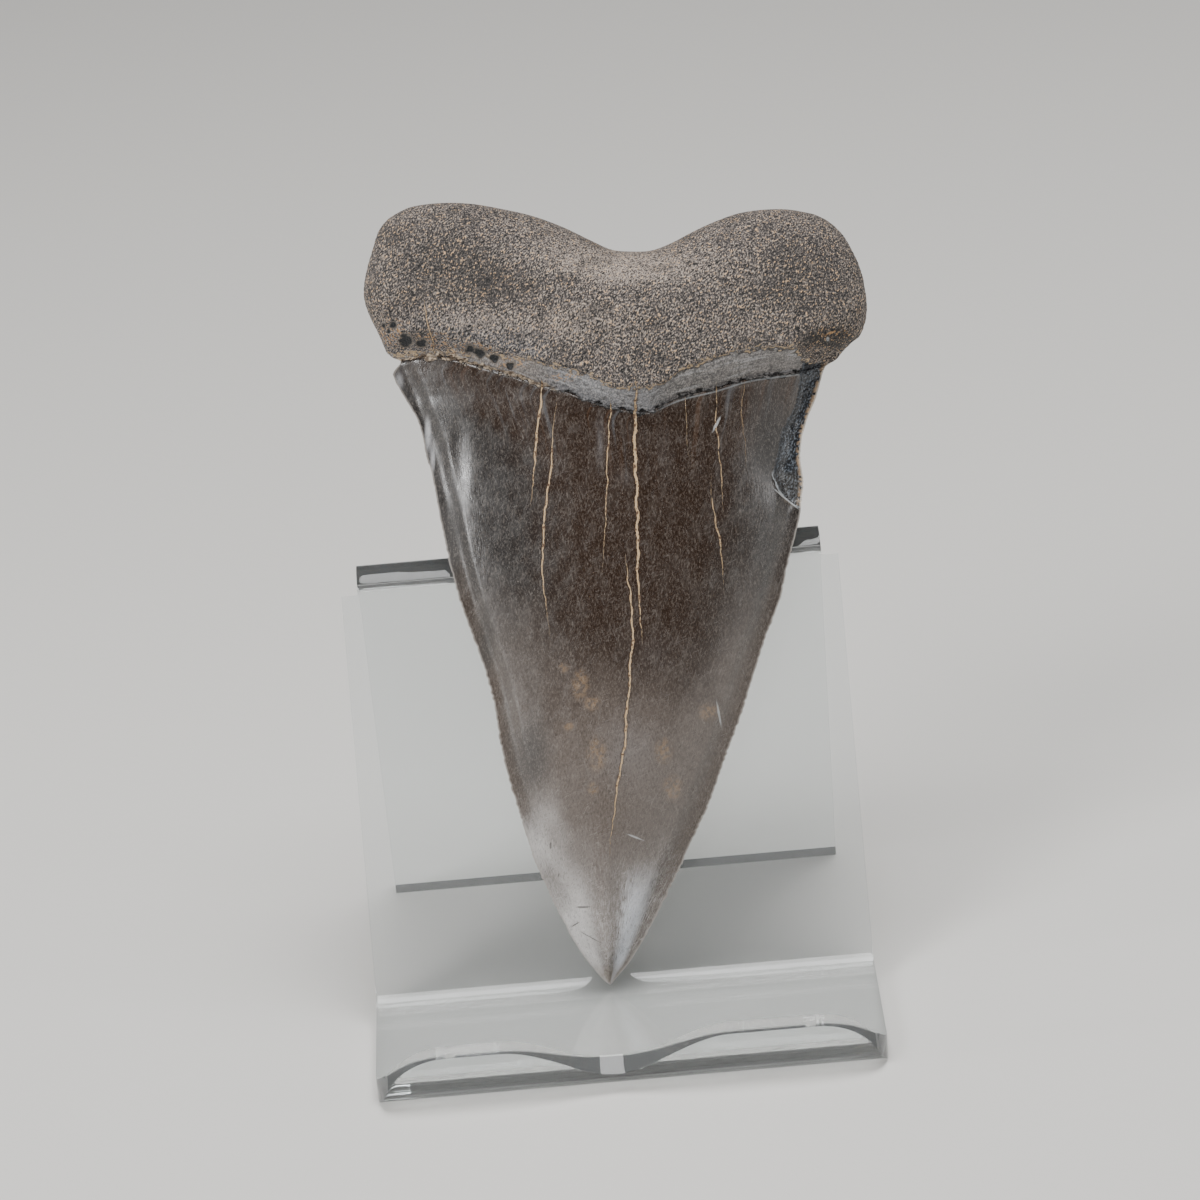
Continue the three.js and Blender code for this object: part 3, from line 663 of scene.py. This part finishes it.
# Noises of the tooth, by the plane that they are drawn on. Each has its size in millimetres along and
# across its grain, the turn of the grain in degrees, and its detail.
PATTERNS = (
    ("face", {
        "ragged": (0.7, 0.5, 0, 2), "mottle": (1.9, 1.2, 80, 2), "drift": (8, 10, 0, 2),
        "grain": (0.2, 0.125, 70, 1), "coarse grain": (0.36, 0.2, 25, 1), "fleck": (0.4, 0.4, 0, 2),
        "wander": (2.4, 1.3, 0, 1), "dust": (0.12, 0.1, 0, 1), "fine": (0.26, 0.13, 84, 2),
        "cloud": (2.6, 1.8, 25, 3), "shell": (2.6, 0.4, 62, 2),
    }),
    ("fan", {"fibre": (0.75, 0.11, 88, 2), "cross fibre": (0.6, 0.11, 118, 2), "streak": (14, 0.5, 90, 3)}),
    ("band", {"layer": (3.2, 0.24, 0, 3)}),
    # Hairline scratches lie in three directions. They are drawn a little wider than real ones, to show.
    ("face", {"steep": (3.2, 0.2, 66, 1), "leaning": (2.6, 0.18, 112, 1), "level": (2.2, 0.2, 24, 1)}),
)
SCRATCHES = ("steep", "leaning", "level")
PATTERN_STEP = (7.3, 3.1)  # noises on the same plane are drawn this far apart, so that they differ
FAN_WIDTH = 14  # from the middle of the fanned plane to either side
BACK_RISE = 3.5  # how much further up the cracks are on the back


def tooth_material(settings):
    """Mineralised tooth: worn glossy enamel, a smooth dull band, and a porous matt root."""
    material, add = new_material("mineralised enamel and dentine")
    place = add("ShaderNodeAttribute", attribute_name="tooth_mm").outputs["Vector"]
    axes = add("ShaderNodeSeparateXYZ", {"Vector": place}).outputs
    u, v = axes["X"], axes["Y"]
    names = ("enamel_mm", "band_mm", "edge_mm", "flake_mm", "across", "front", "stain", "pit", "shade")
    value = {name: add("ShaderNodeAttribute", attribute_name=name).outputs["Fac"] for name in names}

    # Fibres and streaks of the enamel fan out from the tip, so they are drawn on a fanned plane. The band
    # is layered along its length, so its lines follow the edge of the enamel.
    fan_u = add("ShaderNodeMath", {0: value["across"], 1: FAN_WIDTH}, operation="MULTIPLY")
    planes = {
        "face": place,
        "fan": add("ShaderNodeCombineXYZ", {"X": fan_u, "Y": v, "Z": axes["Z"]}),
        "band": add("ShaderNodeCombineXYZ", {"X": u, "Y": value["enamel_mm"], "Z": axes["Z"]}),
    }
    pattern = {}
    for plane, sizes in PATTERNS:
        for number, (name, (along, across, degrees, detail)) in enumerate(sizes.items()):
            turned = add(
                "ShaderNodeMapping",
                {
                    "Vector": planes[plane],
                    "Location": (PATTERN_STEP[0] * number, PATTERN_STEP[1] * number, 0),
                    "Rotation": (0, 0, math.radians(degrees)),
                    "Scale": (along, across, (along + across) / 2),
                },
                vector_type="TEXTURE",
            )
            pattern[name] = add("ShaderNodeTexNoise", {"Vector": turned, "Scale": 1, "Detail": detail})

    # Real edges of enamel, band and broken face are a little ragged.
    ragged = add(
        "ShaderNodeMapRange",
        {"Value": pattern["ragged"], "From Min": 0.3, "From Max": 0.7, "To Min": -0.3, "To Max": 0.3},
    )
    ragged_mm = {
        name: add("ShaderNodeMath", {0: ragged, 1: share, 2: value[name]}, operation="MULTIPLY_ADD")
        for name, share in (("enamel_mm", 1), ("band_mm", 1), ("flake_mm", 0.3))
    }
    # How far each point is from the middle of a line: what each reads, and where that middle is.
    away = {}
    for name, (read, middle) in {
        "enamel line": (ragged_mm["enamel_mm"], 0), "band line": (ragged_mm["band_mm"], 0),
        "flake line": (ragged_mm["flake_mm"], 0), "cream": (ragged_mm["enamel_mm"], 0.12),
        "glint": (value["enamel_mm"], -0.24), "band crack": (ragged_mm["band_mm"], -0.16),
        "middle": (value["across"], 0.12), **{name: (pattern[name], 0.5) for name in SCRATCHES},
    }.items():
        off = add("ShaderNodeMath", {0: read, 1: middle}, operation="SUBTRACT")
        away[name] = add("ShaderNodeMath", {0: off}, operation="ABSOLUTE")
    hairs = None
    for name in SCRATCHES:
        line = add("ShaderNodeMapRange", {"Value": away[name], "From Min": 0.012, "From Max": 0.003})
        hairs = add("ShaderNodeMath", {0: hairs, 1: line}, operation="MAXIMUM") if hairs else line

    # The brown middle of the crown widens toward the root, and its borders are mottled.
    mottled = {0: pattern["mottle"], 1: 0.3, 2: away["middle"]}
    aside = add("ShaderNodeMath", mottled, operation="MULTIPLY_ADD")
    toward_line = add(
        "ShaderNodeMapRange", {"Value": value["enamel_mm"], "From Min": -7, "From Max": -1, "To Max": 0.5}
    )
    aside = add("ShaderNodeMath", {0: aside, 1: toward_line}, operation="SUBTRACT")
    fibrous = {0: pattern["fibre"], 1: 0.8, 2: value["across"]}
    tilted = add("ShaderNodeMath", fibrous, operation="MULTIPLY_ADD")
    drifted = add("ShaderNodeMath", {0: pattern["drift"], 1: 18, 2: v}, operation="MULTIPLY_ADD")
    raggedness = add("ShaderNodeMath", {0: ragged, 1: 1.8, 2: 1}, operation="MULTIPLY_ADD")
    pitted = add("ShaderNodeMath", {0: raggedness, 1: value["pit"]}, operation="MULTIPLY")

    # The back shows the same kind of cracks, mirrored and further up.
    wander = add("ShaderNodeMapRange", {"Value": pattern["wander"], "To Min": -0.22, "To Max": 0.22})
    back_u = add("ShaderNodeMath", {0: u, 1: -0.85, 2: 1.2}, operation="MULTIPLY_ADD")
    crack_u = add("ShaderNodeMix", {"Factor": value["front"], "A": back_u, "B": u})
    crack_u = add("ShaderNodeMath", {0: crack_u, 1: wander}, operation="ADD")
    crack_v = add("ShaderNodeMath", {0: value["front"], 1: BACK_RISE, 2: v}, operation="MULTIPLY_ADD")
    crack_v = add("ShaderNodeMath", {0: crack_v, 1: BACK_RISE}, operation="SUBTRACT")
    in_crack, by_crack = crack_masks(add, crack_u, crack_v, pattern["fleck"])

    # Masks: what each reads, the values between which it rises, and its strength where that isn't 1.
    ranges = {
        "root": (ragged_mm["enamel_mm"], -0.03, 0.05), "above band": (ragged_mm["band_mm"], -0.25, 0.3),
        "under line": (value["enamel_mm"], -8, -0.4), "below band top": (value["band_mm"], 4, 0.2),
        "enamel line": (away["enamel line"], 0.17, 0.04), "band line": (away["band line"], 0.15, 0.04),
        "cream": (away["cream"], 0.22, 0.08), "edge glint": (away["glint"], 0.12, 0.03),
        "band crack": (away["band crack"], 0.1, 0.03), "left": (u, -4, -7), "right": (u, 3, 6),
        "brown band": (u, -4, -7, 0.75), "brown right": (u, 3, 6, 0.6),
        "middle": (aside, 0.95, 0.45), "upper": (drifted, 27, 42), "low": (v, 44, 32),
        "low tone": (drifted, 48, 30, 0.8), "tip": (drifted, 26, 12), "tip tone": (drifted, 26, 12, 0.8),
        "tip low": (drifted, 24, 16), "tip lowest": (drifted, 21, 13), "point": (v, 2.4, 0.8, 0.6),
        "left side": (tilted, 0.2, -0.15), "right side": (tilted, 0.55, 0.8),
        "right inner": (value["across"], 0.8, 0.56), "margin": (value["edge_mm"], 1.6, 1.0),
        "outer rim": (value["edge_mm"], 0.5, 0.15), "rim": (value["edge_mm"], 0.2, 0.05, 0.7),
        "worn": (pattern["mottle"], 0.2, 0.8), "worn away": (pattern["mottle"], 0.75, 0.25),
        "pale fibre": (pattern["fibre"], 0.52, 0.72), "dark fibre": (pattern["fibre"], 0.48, 0.3),
        "cross fibre": (pattern["cross fibre"], 0.55, 0.72),
        "pale streak": (pattern["streak"], 0.56, 0.7), "brown streak": (pattern["streak"], 0.46, 0.32),
        "fine": (pattern["fine"], 0.5, 0.72, 0.2), "fine dark": (pattern["fine"], 0.48, 0.3, 0.35),
        "dust": (pattern["dust"], 0.62, 0.8, 0.3), "cloud": (pattern["cloud"], 0.5, 0.3, 0.45),
        "grain": (pattern["grain"], 0.5, 0.68), "root grain": (pattern["grain"], 0.5, 0.68, 0.8),
        "band grain": (pattern["grain"], 0.5, 0.68, 0.5), "flake grain": (pattern["grain"], 0.5, 0.68, 0.5),
        "root pore": (pattern["grain"], 0.52, 0.36, 0.85), "band pore": (pattern["grain"], 0.52, 0.36, 0.55),
        "flake pore": (pattern["grain"], 0.52, 0.36, 0.8), "big pore": (pattern["coarse grain"], 0.4, 0.28),
        "speck": (pattern["coarse grain"], 0.52, 0.66), "blotch": (pattern["fleck"], 0.42, 0.56),
        "few": (pattern["fleck"], 0.55, 0.66), "few pores": (pattern["fleck"], 0.55, 0.66, 0.7),
        "pale layer": (pattern["layer"], 0.5, 0.72, 0.6), "dark layer": (pattern["layer"], 0.46, 0.3, 0.65),
        "shell": (pattern["shell"], 0.48, 0.68, 0.4), "flake": (ragged_mm["flake_mm"], -0.02, 0.06),
        "flake line": (away["flake line"], 0.1, 0.03), "scar": (v, 44.9, 44.1),
        "scar tone": (v, 44.9, 44.1, 0.4), "stain": (value["stain"], 0.1, 0.9),
        "soft stain": (value["stain"], 0.1, 0.9, 0.2), "pit": (pitted, 0.3, 0.55),
        "pit rim": (pitted, 0.08, 0.3), "paler": (value["shade"], 0, 1, 0.75),
        "darker": (value["shade"], 0, -1, 0.7), "crack": (in_crack, 0, 1),
        "crack side": (by_crack, 0, 1, 0.5),
    }
    mask = {
        name: add(
            "ShaderNodeMapRange",
            {"Value": read, "From Min": low, "From Max": high, "To Max": strength[0] if strength else 1},
            interpolation_type="SMOOTHSTEP",
        )
        for name, (read, low, high, *strength) in ranges.items()
    }
    mask |= {"on front": value["front"], "hairs": hairs}
    for name, spots in (("pale marks", PALE_MARKS), ("dark marks", DARK_MARKS)):
        mask[name] = mark_mask(add, place, spots, pattern["fleck"])
    # Masks that are the product of two others, and their strength.
    for name, (first, second, strength) in {
        "brown": ("middle", "upper", 0.96), "streaky": ("under line", "middle", 1),
        "pale lines": ("pale streak", "streaky", 0.4), "brown lines": ("brown streak", "streaky", 0.7),
        "flecked": ("pale fibre", "worn", 0.3), "cross flecked": ("cross fibre", "worn away", 0.22),
        "brown margin": ("margin", "low", 0.6), "scratched": ("hairs", "worn", 0.2),
        "tip fibre": ("pale fibre", "tip", 0.65), "tip furrow": ("dark fibre", "tip", 0.45),
        "tip hairs": ("hairs", "tip", 0.3), "left facet": ("left side", "tip low", 0.78),
        "right side": ("right side", "right inner", 1), "right facet": ("right side", "tip lowest", 0.95),
        "cream line": ("cream", "left", 1), "broken cream": ("cream line", "blotch", 0.95),
        "band crack": ("band crack", "right", 0.8), "edge glint": ("edge glint", "right", 0.3),
        "broken band line": ("band line", "blotch", 0.85), "pale root": ("below band top", "left", 0.45),
        "tan speck": ("speck", "grain", 1), "tan crust": ("stain", "speck", 0.8),
        "stained": ("stain", "blotch", 0.45), "flake": ("flake", "on front", 1),
        "flake line": ("flake line", "scar", 0.75), "outer rim": ("outer rim", "blotch", 0.6),
        "pale marks": ("pale marks", "on front", 0.65), "dark marks": ("dark marks", "on front", 0.65),
        "crack tan": ("crack", "blotch", 0.4), "specked crack": ("crack", "few", 1),
        "grainy root": ("root", "above band", 1),
    }.items():
        both = add("ShaderNodeMath", {0: mask[first], 1: mask[second]}, operation="MULTIPLY")
        mask[name] = add("ShaderNodeMath", {0: both, 1: strength}, operation="MULTIPLY")

    # Each surface is a base colour with layers over it: the mask of each, and its colour or an earlier
    # surface.
    surfaces = {
        "enamel": (
            settings.enamel_grey,
            ("low tone", "6a6059"), ("brown", settings.enamel_brown), ("brown lines", "4a3220"),
            ("tip tone", settings.enamel_tip), ("flecked", "887e76"), ("cross flecked", "887e76"),
            # The darker and paler patches also hold painted shade and painted highlights along the crown's
            # left edge.
            ("pale lines", "6b7076"), ("brown margin", "463c34"), ("darker", "1a1613"), ("paler", "c8c8cb"),
            # Painted highlights: pale on the two facets either side of the ridge at the tip.
            ("soft stain", "7d6e60"), ("stained", "94795b"), ("left facet", "d9d6d4"),
            ("right facet", "e2e5ec"), ("fine", "a1988f"), ("fine dark", "15110e"),
            ("tip furrow", "554f4b"), ("tip fibre", "dedcda"), ("tip hairs", "e4e2e0"),
            ("point", "81756a"), ("scratched", "bcb7b3"), ("dust", "9d9894"), ("rim", "a8a29c"),
        ),
        "root": (
            settings.root_brown,
            ("pale root", "85868b"), ("paler", "bdaea2"), ("root pore", settings.root_dark),
            ("root grain", settings.root_tan), ("cloud", "2b2827"), ("darker", "1d1b1a"),
            ("big pore", "141313"), ("tan speck", "d9b287"), ("tan crust", "b98f60"),
        ),
        "band and root": (
            settings.band,
            ("brown band", "776d65"), ("brown right", "716a63"), ("dark layer", "46464a"),
            ("pale layer", "b0b1b4"), ("band pore", "3c3b3b"), ("band grain", "b5aea8"),
            ("few pores", "403e3d"), ("band crack", "201d1c"), ("tan crust", "b98f60"),
            ("above band", "root"),
        ),
        "broken face": (
            settings.flake,
            ("shell", "4d535c"), ("scar tone", "6c6862"), ("flake pore", "0f1013"),
            ("flake grain", "87909b"), ("outer rim", "c2a483"), ("rim", "d8d0c4"),
        ),
        "tooth": (
            "enamel",
            ("root", "band and root"), ("broken band line", "c3a883"), ("enamel line", "1b1918"),
            ("edge glint", "c3cace"), ("pit rim", "6e665e"), ("pit", "1f2124"), ("cream line", "6b5a49"),
            # Painted highlight: a pale line along the lower rim of the broken face.
            ("broken cream", "d8c4ab"), ("flake", "broken face"), ("flake line", "b4babf"),
            ("crack side", "35251a"), ("crack", settings.matrix), ("crack tan", "b08f69"),
            ("pale marks", "cdd0d2"), ("dark marks", "2a221d"),
            # Dark grains sit in the matrix that fills the cracks.
            ("specked crack", "5b4433"),
        ),
    }
    tone = {}
    for name, (base, *layers) in surfaces.items():
        tone[name] = tone[base] if isinstance(base, str) else base
        for layer, tint in layers:
            if isinstance(tint, str):
                tint = tone[tint] if tint in tone else linear(tint)
            tone[name] = add(
                "ShaderNodeMix", {"Factor": mask[layer], "A": tone[name], "B": tint}, data_type="RGBA"
            )

    # Polished by wear, enamel is glossiest between its scratches. Root and matrix are matt.
    rough = add(
        "ShaderNodeMapRange",
        {"Value": pattern["mottle"], "From Min": 0.35, "From Max": 0.65, "To Min": 0.22, "To Max": 0.3},
    )
    for layer, roughness in (
        ("scratched", 0.55), ("darker", 0.6), ("root", 0.5), ("flake", 0.3), ("crack", 0.9),
        ("broken cream", 0.9), ("grainy root", 0.85),
    ):
        rough = add("ShaderNodeMix", {"Factor": mask[layer], "A": rough, "B": roughness})

    # Relief in millimetres, up or down: pores of the root, fibres of the band, lines, marks and cracks.
    relief = 0.0
    for layer, over, depth in (
        ("grainy root", pattern["grain"], 0.35), ("grainy root", mask["big pore"], -0.08),
        ("root", pattern["fibre"], 0.03), ("flake", pattern["coarse grain"], 0.06),
    ):
        share = add("ShaderNodeMath", {0: mask[layer], 1: over}, operation="MULTIPLY")
        relief = add("ShaderNodeMath", {0: share, 1: depth, 2: relief}, operation="MULTIPLY_ADD")
    for share, depth in (
        (pattern["fibre"], 0.012), (pattern["mottle"], 0.015), (mask["crack"], -0.06),
        (mask["enamel line"], -0.1), (mask["broken band line"], 0.04), (mask["band crack"], -0.08),
        (mask["dark marks"], -0.08), (mask["pit"], -0.12), (mask["broken cream"], 0.1),
    ):
        relief = add("ShaderNodeMath", {0: share, 1: depth, 2: relief}, operation="MULTIPLY_ADD")
    bump = add("ShaderNodeBump", {"Height": relief, "Distance": MM, "Strength": 1})

    shader = add(
        "ShaderNodeBsdfPrincipled",
        {"Base Color": tone["tooth"], "Roughness": rough, "IOR": 1.6, "Normal": bump},
    )
    add("ShaderNodeOutputMaterial", {"Surface": shader})
    return material


def acrylic_material(settings):
    """Clear cast acrylic, cut and flame polished: almost colourless, with brighter, tinted edges."""
    material, add = new_material("clear cast acrylic")
    shader = add(
        "ShaderNodeBsdfPrincipled",
        {"Base Color": linear("fbfdfd"), "Roughness": 0.02, "IOR": 1.49, "Transmission Weight": 0.96},
    )
    absorption = add("ShaderNodeVolumeAbsorption", {"Color": settings.tint, "Density": 9})
    add("ShaderNodeOutputMaterial", {"Surface": shader, "Volume": absorption})
    return material


def floor_material(settings):
    """Matt painted board: an even pale surface with a faint tooth."""
    material, add = new_material("matt painted board")
    place = add("ShaderNodeNewGeometry").outputs["Position"]
    # Brush marks of real paint are about 1.4 mm apart and a twentieth of that deep.
    marks = add("ShaderNodeTexNoise", {"Vector": place, "Scale": 700, "Detail": 3})
    bump = add("ShaderNodeBump", {"Height": marks, "Distance": 0.05 * MM, "Strength": 0.5})
    shader = add(
        "ShaderNodeBsdfPrincipled", {"Base Color": settings.floor, "Roughness": 0.75, "Normal": bump}
    )
    add("ShaderNodeOutputMaterial", {"Surface": shader})
    return material


BEND_STEPS = 16
UPRIGHT_ROWS = 8  # of the straight part of the lip
LIP_ROWS = BEND_STEPS + UPRIGHT_ROWS
LEG_COLUMNS = 60  # of faces across the rear leg
WING_COLUMNS = 5  # of faces from there out to each side of the panel
EDGE_STEPS = 2  # of faces round a polished edge
EDGE_ANGLE = math.radians(50)  # edges sharper than this are polished round


def bent_path(corners, radii, steps):
    """A line in side view, straight between its corners and with an arc at each."""
    path = [np.array(corners[0])]
    for i, radius in enumerate(radii, 1):
        before, corner, after = (np.array(point) for point in corners[i - 1 : i + 2])
        back = (before - corner) / np.linalg.norm(before - corner)
        on = (after - corner) / np.linalg.norm(after - corner)
        half = math.acos(np.clip(back @ on, -1, 1)) / 2
        middle = back + on
        centre = corner + middle / np.linalg.norm(middle) * radius / math.sin(half)
        start = corner + back * radius / math.tan(half) - centre
        end = corner + on * radius / math.tan(half) - centre
        turn = math.atan2(start[0] * end[1] - start[1] * end[0], start @ end)
        for k in range(steps + 1):
            c, s = math.cos(turn * k / steps), math.sin(turn * k / steps)
            path.append(centre + np.array([c * start[0] - s * start[1], s * start[0] + c * start[1]]))
    return path + [np.array(corners[-1])]


def easel_paths(easel, tooth):
    """The middle line of the sheet, seen from the side with the tip of the tooth at 0: in front of and
    behind the shoulders."""
    up = np.array([math.sin(tooth.lean), math.cos(tooth.lean)])
    back = np.array([math.cos(tooth.lean), -math.sin(tooth.lean)])
    half = easel.sheet / 2
    behind_tip = np.array([0, easel.sheet + easel.gap]) + back * (easel.panel_setback + half)
    shelf_corner = behind_tip + up * (half - behind_tip[1]) / up[1]
    shoulder = behind_tip + up * easel.panel_height
    top_corner = shoulder + up * easel.top_bend / math.tan((tooth.lean + easel.leg_splay) / 2)
    foot_height = half * math.sin(easel.leg_splay)
    foot = (top_corner[0] + (top_corner[1] - foot_height) * math.tan(easel.leg_splay), foot_height)
    lean_out = (easel.lip_height - half) * math.tan(easel.lip_splay)
    lip_corner = np.array([half / math.cos(easel.lip_splay) - easel.shelf_reach + lean_out, half])
    lip_end = lip_corner + np.array([-math.tan(easel.lip_splay), 1]) * (easel.lip_height - half)
    radii = [easel.lip_bend, easel.shelf_bend]
    front = bent_path([lip_end, lip_corner, shelf_corner, shoulder], radii, BEND_STEPS)
    rear = bent_path([shoulder - up * MM, top_corner, foot], [easel.top_bend], BEND_STEPS)[1:]
    return front, rear


def easel_mesh(easel, tooth):
    """The middle surface of the cut and bent sheet. A modifier gives it its thickness."""
    low, high = (Vector(corner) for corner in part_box("easel"))
    middle_x, tip_y = (low.x + high.x) / 2, low.y + easel.shelf_reach
    front, rear = easel_paths(easel, tooth)
    inner = np.linspace(-easel.leg_width / 2, easel.leg_width / 2, LEG_COLUMNS + 1)
    wing = np.linspace(easel.leg_width / 2, easel.panel_width / 2, WING_COLUMNS + 1)[1:]
    outer = easel.panel_width / 2
    across = np.concatenate([-wing[::-1], inner, wing])
    points, faces = [], []
    # The lip is trimmed along a wavy line, so its rows start there in each column.
    upright = [front[0] + (front[1] - front[0]) * share**2 for share in np.linspace(0, 1, UPRIGHT_ROWS + 1)]
    front = upright + front[2:]
    path_y, path_z = np.array(front).T
    along = np.concatenate([[0], np.cumsum(np.hypot(np.diff(path_y), np.diff(path_z)))])
    for i, y in enumerate(path_y):
        # The corners of the sheet are rounded while it is flat, before it is bent.
        width = outer - easel.shelf_corner * (1 - rounded(along[i] / easel.shelf_corner))
        xs = across * width / outer
        dip = np.clip(np.abs(xs + easel.tip_offset) / easel.dip_half_width, 0, 1)
        top = easel.lip_height - easel.dip_depth * np.cos(np.pi / 2 * dip) ** 2
        start = np.interp(-top, -path_z[: LIP_ROWS + 1], along[: LIP_ROWS + 1])
        place = along[i] + start * (1 - min(along[i] / along[LIP_ROWS], 1))
        ys, zs = np.interp(place, along, path_y), np.interp(place, along, path_z)
        points += [(middle_x + x, tip_y + y, z) for x, y, z in zip(xs, ys, zs)]
    columns = len(across)
    corners = (0, 1, columns + 1, columns)
    for i in range(len(front) - 1):
        faces += [tuple(i * columns + j + k for k in corners) for j in range(columns - 1)]
    start = (len(front) - 1) * columns + WING_COLUMNS
    for y, z in rear[1:]:
        first = len(points)
        points += [(middle_x + x, tip_y + y, z) for x in inner]
        faces += [(start + j, start + j + 1, first + j + 1, first + j) for j in range(len(inner) - 1)]
        start = first
    mesh = bpy.data.meshes.new("easel")
    mesh.from_pydata(points, [], faces)
    mesh.shade_smooth()
    return mesh


def show(name, mesh, material):
    """Puts a mesh with its material into the scene."""
    piece = bpy.data.objects.new(name, mesh)
    mesh.materials.append(material)
    bpy.context.scene.collection.objects.link(piece)
    return piece


class MakeTooth(Operator):
    """Make the fossil tooth, leaning on the easel"""

    bl_idname = "fossil.make_tooth"
    bl_label = "Make Tooth"

    def execute(self, context):
        settings = context.scene.fossil_tooth
        matrix = tooth_matrix(settings, context.scene.fossil_easel)
        tooth = show("fossil_tooth", tooth_mesh(settings, matrix), tooth_material(settings))
        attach(tooth, "root")
        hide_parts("tooth")
        return {"FINISHED"}


class MakeEasel(Operator):
    """Make the clear easel from one bent sheet"""

    bl_idname = "fossil.make_easel"
    bl_label = "Make Easel"

    def execute(self, context):
        settings = context.scene.fossil_easel
        mesh = easel_mesh(settings, context.scene.fossil_tooth)
        easel = show("acrylic_easel", mesh, acrylic_material(settings))
        sheet = easel.modifiers.new("Sheet", "SOLIDIFY")
        sheet.thickness, sheet.offset, sheet.use_even_offset = settings.sheet, 0, True
        edges = easel.modifiers.new("Polished edges", "BEVEL")
        edges.width, edges.segments = settings.edge_round, EDGE_STEPS
        edges.limit_method, edges.angle_limit = "ANGLE", EDGE_ANGLE
        flat = easel.modifiers.new("Flat faces", "WEIGHTED_NORMAL")
        flat.keep_sharp = True
        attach(easel, "root")
        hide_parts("easel")
        return {"FINISHED"}


FLOOR_DROP = 0.03 * MM  # a hair of air under the easel, as under any sheet that lies on a table
LIGHTS_AIM = (0, 0, 0.035)
# The photograph looks square on to the leaning face of the tooth, at a point a little below its middle.
CAMERA_AIM = (-0.91, 33.5)


class MakeStage(Operator):
    """Make the floor, the lights and the camera"""

    bl_idname = "fossil.make_stage"
    bl_label = "Make Studio"

    def execute(self, context):
        settings = context.scene.fossil_stage
        half = settings.floor_size / 2
        mesh = bpy.data.meshes.new("floor")
        corners = [(x * half, y * half, -FLOOR_DROP) for x, y in ((-1, -1), (1, -1), (1, 1), (-1, 1))]
        mesh.from_pydata(corners, [], [(0, 1, 2, 3)])
        show("floor", mesh, floor_material(settings))

        # Each has its power, its place, its width and its height, in metres.
        lights = (
            ("key", settings.key_power, (-0.42, -0.45, 0.5), 0.34, 0.3),
            ("left", settings.left_power, (-0.5, -0.12, 0.08), 0.03, 0.1),
            ("right", settings.right_power, (0.5, -0.2, 0.15), 0.08, 0.28),
            ("top", settings.top_power, (0.05, -0.05, 0.65), 0.55, 0.45),
        )
        for name, watts, place, width, height in lights:
            light = bpy.data.lights.new(name, "AREA")
            light.energy, light.shape, light.size, light.size_y = watts, "ELLIPSE", width, height
            lamp = bpy.data.objects.new(name, light)
            lamp.location = place
            lamp.rotation_euler = (Vector(LIGHTS_AIM) - Vector(place)).to_track_quat("-Z", "Y").to_euler()
            context.scene.collection.objects.link(lamp)
        world = bpy.data.worlds.new("studio")
        world.use_nodes = True
        background = world.node_tree.nodes["Background"]
        background.inputs["Color"].default_value = (*linear("f2f1ef"), 1)
        background.inputs["Strength"].default_value = settings.ambient
        context.scene.world = world

        matrix = tooth_matrix(context.scene.fossil_tooth, context.scene.fossil_easel)
        camera = bpy.data.objects.new("camera", bpy.data.cameras.new("camera"))
        camera.data.lens, camera.data.clip_start = settings.lens, 0.01
        stand_off = Matrix.Translation((*CAMERA_AIM, settings.distance / MM))
        camera.matrix_world = matrix @ stand_off @ Matrix.Scale(1 / MM, 4)
        context.scene.collection.objects.link(camera)
        context.scene.camera = camera
        return {"FINISHED"}


class FossilPanel(Panel):
    """Lists the pieces and their sizes"""

    bl_idname = "FOSSIL_PT_display"
    bl_label = "Fossil Tooth"
    bl_space_type = "VIEW_3D"
    bl_region_type = "UI"
    bl_category = "Fossil"

    def draw(self, context):
        for group, operator in (
            (context.scene.fossil_tooth, MakeTooth),
            (context.scene.fossil_easel, MakeEasel),
            (context.scene.fossil_stage, MakeStage),
        ):
            box = self.layout.box()
            for name in group.bl_rna.properties.keys():
                if name not in ("rna_type", "name"):
                    box.prop(group, name)
            box.operator(operator.bl_idname)


SETTINGS = {"fossil_tooth": ToothSettings, "fossil_easel": EaselSettings, "fossil_stage": StageSettings}
CLASSES = (ToothSettings, EaselSettings, StageSettings, MakeTooth, MakeEasel, MakeStage, FossilPanel)


def register():
    for cls in CLASSES:
        bpy.utils.register_class(cls)
    for name, settings in SETTINGS.items():
        setattr(bpy.types.Scene, name, PointerProperty(type=settings))


def unregister():
    for name in SETTINGS:
        delattr(bpy.types.Scene, name)
    for cls in reversed(CLASSES):
        bpy.utils.unregister_class(cls)


def main():
    register()
    bpy.ops.fossil.make_stage()
    bpy.ops.fossil.make_easel()
    bpy.ops.fossil.make_tooth()


if __name__ == "__main__":
    main()
